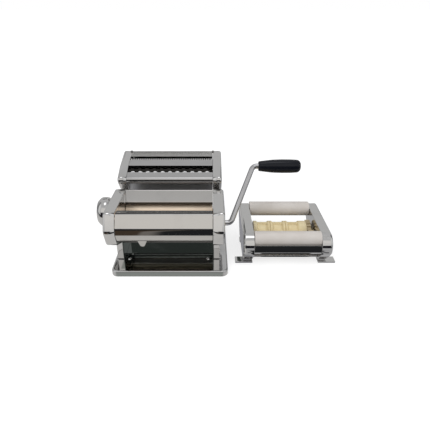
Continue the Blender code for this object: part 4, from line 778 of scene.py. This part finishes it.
def make_base():
    """The pressed base tray and its rubber feet."""
    bm = bmesh.new()
    bmesh.ops.create_cube(bm, size=1)
    size = (2 * BASE_HALF_WIDTH, BASE_REAR_Y - BASE_FRONT_Y, BASE_TOP - BASE_BOTTOM)
    bmesh.ops.scale(bm, vec=size, verts=bm.verts)
    moved(bm, BASE_OFFSET_X, (BASE_REAR_Y + BASE_FRONT_Y) / 2, (BASE_TOP + BASE_BOTTOM) / 2)
    upright = [edge for edge in bm.edges if abs(edge.verts[0].co.z - edge.verts[1].co.z) > MERGE]
    round_edges(bm, upright, BASE_CORNER, 12)
    top = [
        edge
        for edge in bm.edges
        if all(abs(vert.co.z - BASE_TOP) < MERGE for vert in edge.verts) and edge.calc_face_angle(0) > 1
    ]
    round_edges(bm, top, BASE_EDGE, 6)
    under = [face for face in bm.faces if all(abs(vert.co.z - BASE_BOTTOM) < MERGE for vert in face.verts)]
    bmesh.ops.delete(bm, geom=under, context="FACES")
    piece("pressed_base", bm, BASE_CHROME, "machine", ("base_plate",), wall=SHELL, side=-1)
    for row, y in (("front", BASE_FRONT_Y + FOOT_INSET), ("rear", BASE_REAR_Y - FOOT_INSET)):
        for side_name, side in SIDES:
            node = "rubber_foot_" + row + "_" + side_name
            foot = turned_upright(soft_corners(FOOT_PROFILE, SOFT_CORNER), FOOT_STEPS)
            moved(foot, BASE_OFFSET_X + side * (BASE_HALF_WIDTH - FOOT_INSET), y)
            piece("foot_" + row + "_" + side_name, foot, RUBBER, "machine", (node,))


def make_base_screws():
    """Two domed screws on the tray beside the legs."""
    x, y = SCREW_AT
    for side_name, side in SIDES:
        screw = turned_upright(SCREW_PROFILE, SMALL_STEPS)
        moved(screw, side * x, y, BASE_TOP)
        piece("base_screw_" + side_name, screw, CHROME, "machine")


def make_sides():
    """Housings and frames of the machine."""
    for side_name, side in SIDES:
        bm = shell(side, HOUSING, HALF_CLEAR, HALF_WIDTH, SHELL_RIM, [FRONT_ROLLER_AT])
        node = side_name + "_housing"
        piece(side_name + "_side_shell", bm, CHROME, "machine", (node,), wall=SHELL, side=-1)
        softened(side_name + "_leg_plate", side_name + "_frame", LEG_CHROME, "machine")
        softened(side_name + "_rail_bar", side_name + "_rail", SATIN, "machine", 0.0008)


def make_covers():
    """Front cover with its tab, feed cover, guide, scrapers and tie rods."""
    cover = bent_sheet(FRONT_COVER, COVER_PLAY - COVER_HALF, COVER_HALF - COVER_PLAY, 0.0026, 8)
    sheet_piece("front_cover_sheet", cover, COVER_CHROME, "machine", "front_cover")
    tab = bmesh.new()
    x, y, z = TAB_AT
    draw_out(tab, tab.faces.new([tab.verts.new((x + right, y, z + up)) for right, up in TAB]), (0, SHEET, 0))
    low = min(vert.co.z for vert in tab.verts)
    tips = [edge for edge in tab.edges if all(abs(vert.co.z - low) < MERGE for vert in edge.verts)]
    tips = [edge for edge in tips if abs(edge.verts[0].co.y - edge.verts[1].co.y) > MERGE]
    round_edges(tab, tips, TAB_TIP, 6)
    piece("front_cover_tab", tab, COVER_CHROME, "machine", (), edge=SHEET_EDGE)
    feed = bent_sheet(FEED_COVER, -COVER_HALF, COVER_HALF, 0.0014, 6)
    sheet_piece("feed_cover_sheet", feed, FEED_CHROME, "machine", "feed_cover")
    guide = bent_sheet(FRONT_GUIDE, -COVER_HALF, COVER_HALF)
    sheet_piece("front_guide_sheet", guide, PAINTED_SHADE_STEEL, "machine", "front_guide")
    for node, back in (("front_scraper", 0.0), ("rear_scraper", REAR_SCRAPER_BACK)):
        softened(node + "_blade", node, PAINTED_SHADE_STEEL, "machine", SHEET_EDGE, (0, back, 0))
    for node, at in (("low_tie_rod", LOW_TIE_AT), ("front_tie_rod", FRONT_TIE_AT)):
        piece(node + "_bar", plain_bar(ROD_HALF, ROD_RADIUS, at, BAR_STEPS), CHROME, "machine", (node,))


def make_rollers():
    """The two dough rollers."""
    places = (
        ("front_roller", FRONT_ROLLER_AT, 0.0075, "drive_roller"),
        ("rear_roller", REAR_ROLLER_AT, 0.005, "rear_roller"),
    )
    for node, at, right_radius, body in places:
        profile = [(ROLLER_RIGHT_END, 0.0)]
        if node == "front_roller":
            socket_end = ROLLER_RIGHT_END - 0.020
            profile = [(socket_end, 0.0), (socket_end, SOCKET_RADIUS), (ROLLER_RIGHT_END, SOCKET_RADIUS)]
        profile += [(ROLLER_RIGHT_END, right_radius), (ROLLER_HALF, right_radius), (ROLLER_HALF, ROLLER_RADIUS)]
        profile += [(-ROLLER_HALF, ROLLER_RADIUS), (-ROLLER_HALF, 0.005), (-0.0778, 0.005), (-0.0778, 0.0)]
        piece(node + "_body", turned(soft_corners(profile, 0.0005), at), ROLLER, body, (node,))


def make_knob():
    """The thickness knob: a turned drum with a dished outer face."""
    near = -HALF_WIDTH - 0.0003
    face = -HALF_WIDTH - 0.0295
    profile = [
        (-0.1110, 0.0),
        (-0.1110, 0.0044),
        (near, 0.0044),
        (near, 0.0125),
        (near - 0.0045, 0.0125),
        (near - 0.0045, 0.0175),
        (near - 0.0060, 0.0215),
        (near - 0.0125, 0.0255),
        (face + 0.0060, 0.0255),
        (face, 0.0195),
        (face, 0.0175),
        (face + 0.0010, 0.0160),
        (face + 0.0010, 0.0060),
        (face + 0.0006, 0.0),
    ]
    knob = turned(soft_corners(profile, 0.0045, 8), REAR_ROLLER_AT)
    piece("thickness_knob_drum", knob, CHROME, "thickness_knob", ("knob",))


def make_crank():
    """The bent rod and its grip."""
    bm = bmesh.new()
    ring = bmesh.ops.create_circle(bm, segments=SMALL_STEPS, radius=CRANK_RADIUS, cap_ends=True)["verts"]
    bmesh.ops.rotate(bm, cent=(0, 0, 0), matrix=Matrix.Rotation(-math.pi / 2, 3, "Y"), verts=ring)
    bmesh.ops.translate(bm, vec=(CRANK_STARTS, 0, 0), verts=ring)
    outward = Vector((0, math.cos(CRANK_ANGLE), math.sin(CRANK_ANGLE)))
    slope = Vector((CRANK_BENDS[1] - CRANK_BENDS[0], 0, 0)) + outward * CRANK_THROW
    turn = Vector((1, 0, 0)).angle(slope)
    hinge = Vector((1, 0, 0)).cross(slope).normalized()
    reach = CRANK_BEND_RADIUS * math.tan(turn / 2)
    tip = push(bm, list(bm.faces), Vector((CRANK_BENDS[0] - reach - CRANK_STARTS, 0, 0)))
    centre = Vector((CRANK_BENDS[0] - reach, 0, 0)) + outward * CRANK_BEND_RADIUS
    tip = swing(bm, tip, centre, hinge, turn)
    tip = push(bm, tip, slope.normalized() * (slope.length - 2 * reach))
    corner = Vector((CRANK_BENDS[1], 0, 0)) + outward * CRANK_THROW
    centre = corner + Vector((reach, 0, 0)) - outward * CRANK_BEND_RADIUS
    tip = swing(bm, tip, centre, hinge, -turn)
    push(bm, tip, Vector((CRANK_ENDS - CRANK_BENDS[1] - reach, 0, 0)))
    round_edges(bm, face_rim(bm, CRANK_STARTS) + face_rim(bm, CRANK_ENDS), CRANK_END_EDGE, 3)
    moved(bm, 0, *FRONT_ROLLER_AT)
    piece("crank_bar", bm, ROD_STEEL, "crank", ("crank_rod",))
    y, z = (outward * CRANK_THROW).yz
    profile = [
        (GRIP_ENDS - 0.004, 0.0),
        (GRIP_ENDS - 0.004, 0.0048),
        (GRIP_STARTS, 0.0048),
        (GRIP_STARTS, 0.0078),
        (GRIP_STARTS + 0.0015, 0.0085),
        (GRIP_STARTS + 0.0100, 0.0096),
        (GRIP_STARTS + 0.0240, 0.0112),
        (GRIP_STARTS + 0.0400, 0.0117),
        (GRIP_STARTS + 0.0560, 0.0116),
        (GRIP_ENDS - 0.0040, 0.0108),
        (GRIP_ENDS, 0.0070),
        (GRIP_ENDS, 0.0),
    ]
    grip = turned(soft_corners(profile, 0.0045, 6), (FRONT_ROLLER_AT[0] + y, FRONT_ROLLER_AT[1] + z), 64)
    piece("crank_handle", grip, BLACK, "crank_grip", ("crank_grip",))


def push(bm, faces, way):
    """Draw the rod's end face out straight. The face that the rod starts from stays as its other end."""
    starts = len(bm.faces) == 1
    drawn = bmesh.ops.extrude_face_region(bm, geom=faces)["geom"]
    if not starts:
        bmesh.ops.delete(bm, geom=faces, context="FACES_ONLY")
    bmesh.ops.translate(bm, vec=way, verts=only_verts(drawn))
    return [item for item in drawn if isinstance(item, bmesh.types.BMFace)]


def swing(bm, faces, centre, axis, angle):
    """Draw the rod's end face round a bend."""
    edges = list({edge for face in faces for edge in face.edges})
    verts = list({vert for face in faces for vert in face.verts})
    bmesh.ops.delete(bm, geom=faces, context="FACES_ONLY")
    bend = bmesh.ops.spin(bm, geom=verts + edges, cent=centre, axis=axis, angle=angle, steps=CRANK_BEND_STEPS)
    rim = [item for item in bend["geom_last"] if isinstance(item, bmesh.types.BMEdge)]
    return bmesh.ops.contextual_create(bm, geom=rim)["faces"]


def comb(root, tip, pitch, root_width, tip_width):
    """A row of flat teeth drawn from a root line to a tip line, both given as (y, z)."""
    bm = bmesh.new()
    count = int(2 * HALF_CLEAR / pitch)
    for index in range(count):
        middle = (index - (count - 1) / 2) * pitch
        corners = [(-root_width, root), (root_width, root), (tip_width, tip), (-tip_width, tip)]
        bm.faces.new([bm.verts.new((middle + width / 2, *at)) for width, at in corners])
    return bm


def make_head():
    """The cutter head: end caps, plates, covers, combs, catches and tie rod."""
    for side_name, side in SIDES:
        bm = shell(side, HEAD, HALF_CLEAR, HEAD_HALF_WIDTH, SHELL_RIM, [WIDE_FRONT_AT, FINE_REAR_AT])
        node = "cutter_" + side_name + "_cap"
        piece("head_" + side_name + "_shell", bm, CHROME, "cutter_head", (node,), wall=SHELL, side=-1)
        softened("head_" + side_name + "_plate", "cutter_" + side_name + "_plate", CHROME, "cutter_head")
        catch = bmesh.new()
        bmesh.ops.create_cube(catch, size=1)
        bmesh.ops.scale(catch, vec=CATCH_SIZE, verts=catch.verts)
        round_edges(catch, list(catch.edges), 0.0007, 3)
        moved(catch, side * CATCH_AT[0], *CATCH_AT[1:])
        piece("head_" + side_name + "_catch", catch, CHROME, "cutter_head")
    for name, profile, finish, node, fold, steps in (
        ("front", HEAD_FRONT, HEAD_CHROME, "cutter_front_cover", 0.0024, 8),
        ("middle", HEAD_MIDDLE, HEAD_CHROME, "cutter_middle_plate", 0.001, 4),
        ("rear", HEAD_REAR, STIPPLED, "cutter_rear_cover", 0.0030, 6),
    ):
        sheet = bent_sheet(profile, -COVER_HALF, COVER_HALF, fold, steps)
        sheet_piece("head_" + name + "_sheet", sheet, finish, "cutter_head", node)
    for node, teeth in (("wide_comb", WIDE_TEETH), ("fine_comb", FINE_TEETH)):
        piece(node + "_teeth", comb(*teeth), PAINTED_HIGHLIGHT_STEEL, "cutter_head", (node,), SHEET, 0)
    tie = plain_bar(ROD_HALF, ROD_RADIUS, HEAD_TIE_AT, BAR_STEPS)
    piece("head_tie_bar", tie, SATIN, "cutter_head", ("cutter_tie_rod",))


def make_cutters():
    """Wide cutters with broad rings and fine cutters with narrow ones."""
    for width, span, pitch, core, ring, foot, rim, steps, edge, *places in CUTTERS:
        count = int(span / pitch)
        for role, at, shift in zip(("drive", "driven"), places, (0.25, -0.25)):
            first = (count - 1) * pitch / 2 + shift * pitch
            profile = cutter_start(role)
            for index in range(count):
                middle = first - index * pitch
                profile += [(middle + foot, core), (middle + rim, ring), (middle - rim, ring), (middle - foot, core)]
            profile += [(-ROLLER_HALF, core), (-ROLLER_HALF, CUTTER_JOURNAL)]
            profile += [(CUTTER_LEFT_END, CUTTER_JOURNAL), (CUTTER_LEFT_END, 0.0)]
            node = width + "_cutter_" + role
            rings = turned(profile, at, steps)
            piece(width + "_rings_" + role, rings, CUTTER, width + "_" + role, (node,), edge=edge)


def cutter_start(role):
    """The right-hand end of a cutter: a socket for the crank, or a plain journal."""
    if role == "drive":
        end = HEAD_HALF_WIDTH - SHELL - 0.0008
        depth = end - 0.010
        return [(depth, 0.0), (depth, SOCKET_RADIUS), (end, SOCKET_RADIUS), (end, 0.0060), (ROLLER_HALF, 0.0060)]
    return [(CUTTER_RIGHT_END, 0.0), (CUTTER_RIGHT_END, CUTTER_JOURNAL), (ROLLER_HALF, CUTTER_JOURNAL)]


def make_ravioli_sides():
    """Housings, plates, guard and tie bar of the ravioli attachment."""
    body = "ravioli_attachment"
    for side_name, side in SIDES:
        bm = shell(side, RAVIOLI_SIDE, RAVIOLI_HALF_CLEAR, RAVIOLI_HALF_WIDTH, RAVIOLI_RIM, [MOULD_FRONT_AT])
        moved(bm, RAVIOLI_X)
        start = "ravioli_" + side_name
        node = start + "_housing"
        piece(start + "_shell", bm, CHROME, body, (node,), wall=SHELL, side=-1)
        softened(start + "_foot_plate", start + "_plate", CHROME, body)
    guard = moved(bent_sheet(GUARD, -GUARD_HALF, GUARD_HALF, 0.0020, 6), RAVIOLI_X)
    sheet_piece("ravioli_guard_sheet", guard, CHROME, body, "ravioli_guard")
    bar = moved(plain_bar(TIE_BAR_HALF, TIE_BAR_RADIUS, TIE_BAR_AT, FOOT_STEPS), RAVIOLI_X)
    piece("ravioli_bar", bar, SATIN, body, ("ravioli_tie_bar",))


def make_guide_rollers():
    """The white guide rollers."""
    for node, at in (("front_guide_roller", GUIDE_FRONT_AT), ("rear_guide_roller", GUIDE_REAR_AT)):
        half = [(RAVIOLI_SHAFT_END, 0.0), (RAVIOLI_SHAFT_END, 0.0025), (0.0553, 0.0025), (0.0553, GUIDE_RADIUS)]
        profile = half + [(-x, radius) for x, radius in reversed(half)]
        roller = moved(turned(soft_corners(profile, 0.0007), at), RAVIOLI_X)
        piece(node + "_tube", roller, WHITE, node, (node,))


def make_moulds():
    """The cream mould rollers: three rows of pockets between rings, on their shafts."""
    middle = (MOULD_START + MOULD_END) / 2 + CELL_SHIFT
    cells = [middle + (index - 1) * CELL_PITCH for index in range(3)]
    for node, at, tail in (("front_mould", MOULD_FRONT_AT, 0.0718), ("rear_mould", MOULD_REAR_AT, RAVIOLI_SHAFT_END)):
        bm = turned(mould_profile(cells), steps=MOULD_STEPS)
        bmesh.ops.recalc_face_normals(bm, faces=bm.faces)
        if bm.faces[0].normal.dot(bm.faces[0].calc_center_median() * Vector((0, 1, 1))) < 0:
            bmesh.ops.reverse_faces(bm, faces=bm.faces)
        cut_pockets(bm, pocket_faces(bm, cells))
        moved(bm, RAVIOLI_X, *at)
        shaft = [(tail, 0.0), (tail, MOULD_JOURNAL), (MOULD_END, MOULD_JOURNAL), (MOULD_END, MOULD_RADIUS)]
        if node == "front_mould":
            shaft = [(tail - 0.014, 0.0), (tail - 0.014, SOCKET_RADIUS), (tail, SOCKET_RADIUS)] + shaft[1:]
        left_end = [(MOULD_START, MOULD_RADIUS), (MOULD_START, MOULD_JOURNAL)]
        left_end += [(-RAVIOLI_SHAFT_END, MOULD_JOURNAL), (-RAVIOLI_SHAFT_END, 0.0)]
        for profile in (shaft, left_end):
            end = moved(turned(profile, at, MOULD_STEPS), RAVIOLI_X)
            spare = bpy.data.meshes.new("spare")
            end.to_mesh(spare)
            end.free()
            bm.from_mesh(spare)
            bpy.data.meshes.remove(spare)
        piece(node + "_body", bm, CREAM, node, (node,), edge=MOULD_EDGE)


def mould_profile(cells):
    """The mould roller's outer line: a shallow cell for each row of pockets, and a groove between cells."""
    profile = [(MOULD_START, MOULD_RADIUS)]
    for index, cell in enumerate(cells):
        if index:
            groove = cell - CELL_PITCH / 2
            profile += [(groove - 0.0008, MOULD_RADIUS), (groove - 0.0005, MOULD_GROOVE)]
            profile += [(groove + 0.0005, MOULD_GROOVE), (groove + 0.0008, MOULD_RADIUS)]
        profile += [(cell - 0.0104, MOULD_RADIUS), (cell - 0.0100, MOULD_CELL)]
        profile += [(cell + 0.0100, MOULD_CELL), (cell + 0.0104, MOULD_RADIUS)]
    return profile + [(MOULD_END, MOULD_RADIUS)]


def pocket_faces(bm, cells):
    """The faces of each pocket: five round the roller in each of three rows."""
    groups = [[] for _ in range(POCKETS_ROUND * len(cells))]
    share = 360 / POCKETS_ROUND
    for face in bm.faces:
        at = face.calc_center_median()
        angle = (math.degrees(math.atan2(at.z, at.y)) - POCKET_TURN) % 360
        for row, cell in enumerate(cells):
            if abs(at.x - cell) < 0.001 and POCKET_GAP < angle % share < share - POCKET_GAP:
                groups[POCKETS_ROUND * row + int(angle // share)].append(face)
    return groups


def cut_pockets(bm, groups):
    """Sink each pocket with sloping walls."""
    for group in groups:
        bmesh.ops.inset_region(bm, faces=group, thickness=0.0009, depth=0.0, use_even_offset=True)
        bmesh.ops.inset_region(bm, faces=group, thickness=0.0012, depth=-0.0030, use_even_offset=True)


def make_mould_gears():
    """The gear at the end of each mould roller."""
    module = 2 * MOULD_GEAR_RADIUS / MOULD_GEAR_TEETH
    # A tooth's radius and half angle at its root, pitch line and tip
    tooth = (
        (MOULD_GEAR_RADIUS - 1.15 * module, 0.072),
        (MOULD_GEAR_RADIUS, 0.042),
        (MOULD_GEAR_RADIUS + 0.75 * module, 0.020),
    )
    flank = [(radius, -half) for radius, half in tooth] + [(radius, half) for radius, half in reversed(tooth)]
    half_tooth = math.pi / MOULD_GEAR_TEETH
    for node, at, phase in (("front_mould", MOULD_FRONT_AT, 0.0), ("rear_mould", MOULD_REAR_AT, math.pi + half_tooth)):
        bm = bmesh.new()
        rim = []
        for index in range(MOULD_GEAR_TEETH):
            for radius, lean in flank:
                angle = phase + 2 * half_tooth * index + lean
                rim.append(bm.verts.new((MOULD_GEAR_X, radius * math.cos(angle), radius * math.sin(angle))))
        draw_out(bm, bm.faces.new(rim), (MOULD_GEAR_WIDTH, 0, 0))
        moved(bm, RAVIOLI_X, *at)
        piece(node + "_gear_ring", bm, PAINTED_SHADE_CREAM, node, (), edge=MOULD_EDGE)


def make_stage():
    """A white floor that keeps the shadow. Metal sees it pale, with a dark strip in front, darker sides and a painted
    shadow under the ravioli attachment.
    """
    bm = bmesh.new()
    bmesh.ops.create_grid(bm, x_segments=1, y_segments=1, size=20)
    mesh = bpy.data.meshes.new("floor")
    bm.to_mesh(mesh)
    bm.free()
    floor = bpy.data.objects.new("floor", mesh)
    bpy.context.scene.collection.objects.link(floor)
    material = bpy.data.materials.new("floor")
    material.use_nodes = True
    recipe = Recipe(material.node_tree)
    path = recipe.node("LightPath")
    outputs = path.socket.node.outputs
    camera = Wire(recipe, outputs["Is Camera Ray"])
    glossy = Wire(recipe, outputs["Is Glossy Ray"])
    across, along, _ = recipe.split(recipe.place())
    right = recipe.band(across, *RIGHT_X)
    strip = recipe.sum("MAXIMUM", right * recipe.band(along, *NEAR_Y), 1.0 - recipe.window(along, *FAR_Y))
    # Painted shadow under the ravioli attachment, since the table that metal sees takes no shadows
    strip = recipe.sum("MAXIMUM", recipe.band(across, *MIDDLE_X) * recipe.band(along, *UNDER_Y), strip)
    corner = recipe.band(across, *CORNER_X) * recipe.band(along, *CORNER_Y)
    between = recipe.band(across, *BETWEEN_X) * recipe.band(along, *BETWEEN_Y)
    aside = recipe.window(recipe.sum("ABSOLUTE", across), 0.30, 0.80)
    pale = recipe.blend(recipe.window(across, 0.020, 0.060), TABLE_LEFT, TABLE_RIGHT)
    pale = recipe.blend(aside, pale, TABLE_ASIDE)
    pale = recipe.blend(between, pale, TABLE_BETWEEN)
    pale = recipe.blend(corner, pale, TABLE_CORNER)
    strip_left = recipe.blend(recipe.band(across, *BROWN_X), STRIP_DARK, STRIP_BROWN)
    streak = (1.0 - right) * recipe.band(across, *STREAK_X) * 0.40
    shown = recipe.blend(strip, pale, recipe.blend(streak, strip_left, STREAK_PALE))
    matt = recipe.node("BsdfDiffuse", Color=TABLE_MATT)
    near_glow, more_glow = TABLE_GLOW
    distant = recipe.window(along, 0.25, 1.40)
    glow = recipe.node("Emission", Color=(1.0, 1.0, 1.0), Strength=camera * (near_glow + more_glow * distant))
    seen = recipe.node("AddShader", _0=matt, _1=glow)
    mirror_view = recipe.node("Emission", Color=shown, Strength=1.0)
    both = recipe.node("MixShader", _0=glossy, _1=seen, _2=mirror_view)
    recipe.node("OutputMaterial", Surface=both)
    floor.data.materials.append(material)


def make_sky():
    """White behind the set. Metal sees a room with pale walls, dark corners and a dark low gap behind."""
    world = bpy.data.worlds.new("studio")
    bpy.context.scene.world = world
    world.use_nodes = True
    recipe = Recipe(world.node_tree)
    path = recipe.node("LightPath")
    outputs = path.socket.node.outputs
    camera = Wire(recipe, outputs["Is Camera Ray"])
    glossy = Wire(recipe, outputs["Is Glossy Ray"])
    direction = recipe.node("TexCoord", output="Generated")
    across, along, up = recipe.split(direction)
    height = recipe.node("ValToRGB", {"stops": ROOM_BY_HEIGHT}, Fac=up * 0.5 + 0.5)
    turn = recipe.sum("ARCTAN2", across, along)
    share = turn * (0.5 / math.pi) + 0.5
    low = 1.0 - recipe.window(up, 0.70, 0.95)
    dim = recipe.node("ValToRGB", {"stops": DIM_SIDES}, Fac=share)
    lit = recipe.node("ValToRGB", {"stops": LIT_SIDES}, Fac=share)
    room = recipe.blend(low * lit, height, ROOM_LIT)
    room = recipe.blend(low * dim, room, ROOM_DIM)
    room = recipe.blend(recipe.band(turn, *GAP_TURN) * recipe.band(up, *GAP_UP), room, ROOM_GAP)
    ahead = recipe.window(recipe.sum("ABSOLUTE", turn), *WALL_TURN)
    room = recipe.blend(ahead * recipe.band(up, *WALL_UP), room, ROOM_WALL)
    room = recipe.blend(ahead * (1.0 - recipe.window(up, 0.24, 0.32)), room, ROOM_LOW)
    room = recipe.blend(recipe.window(up, 0.968, 0.984), room, ROOM_ABOVE)
    plain = recipe.node("Background", Color=ROOM_PLAIN, Strength=1.0)
    mirrored_room = recipe.node("Background", Color=room, Strength=1.0)
    white = recipe.node("Background", Color=(1.0, 1.0, 1.0), Strength=1.0)
    inside = recipe.node("MixShader", _0=glossy, _1=plain, _2=mirrored_room)
    shown = recipe.node("MixShader", _0=camera, _1=inside, _2=white)
    recipe.node("OutputWorld", Surface=shown)


def make_lamps():
    """One large soft lamp above the front left, and a smaller one on the right."""
    for name, place, size, power in LAMPS:
        data = bpy.data.lights.new(name, "AREA")
        data.size = size
        data.energy = power
        lamp = bpy.data.objects.new(name, data)
        lamp.location = place
        lamp.rotation_euler = (Vector((0, 0, 0.05)) - Vector(place)).to_track_quat("-Z", "Y").to_euler()
        lamp.visible_camera = False
        lamp.visible_glossy = False
        bpy.context.scene.collection.objects.link(lamp)


def make_camera():
    """The photograph's view."""
    data = bpy.data.cameras.new("photo_view")
    data.sensor_width = 36.0
    data.lens = CAMERA_LENS
    data.shift_x = CAMERA_SHIFT
    camera = bpy.data.objects.new("photo_view", data)
    camera.location = CAMERA_AT + SET_ORIGIN
    camera.rotation_euler = (CAMERA_TILT, 0, 0)
    bpy.context.scene.collection.objects.link(camera)
    bpy.context.scene.camera = camera


make_camera()
make_sky()
make_lamps()
make_stage()
make_base()
make_base_screws()
make_sides()
make_covers()
make_rollers()
make_knob()
make_crank()
make_head()
make_cutters()
make_ravioli_sides()
make_guide_rollers()
make_moulds()
make_mould_gears()
dress(GEAR, "front_gear", "rear_gear", "wide_gear_drive", "wide_gear_driven", "fine_gear_drive", "fine_gear_driven")
dress(GEAR, "left_bearing_block", "right_bearing_block", "cam_shaft")
dress(BRASS, "left_bush", "right_bush")

bpy.context.scene.view_settings.view_transform = "Standard"
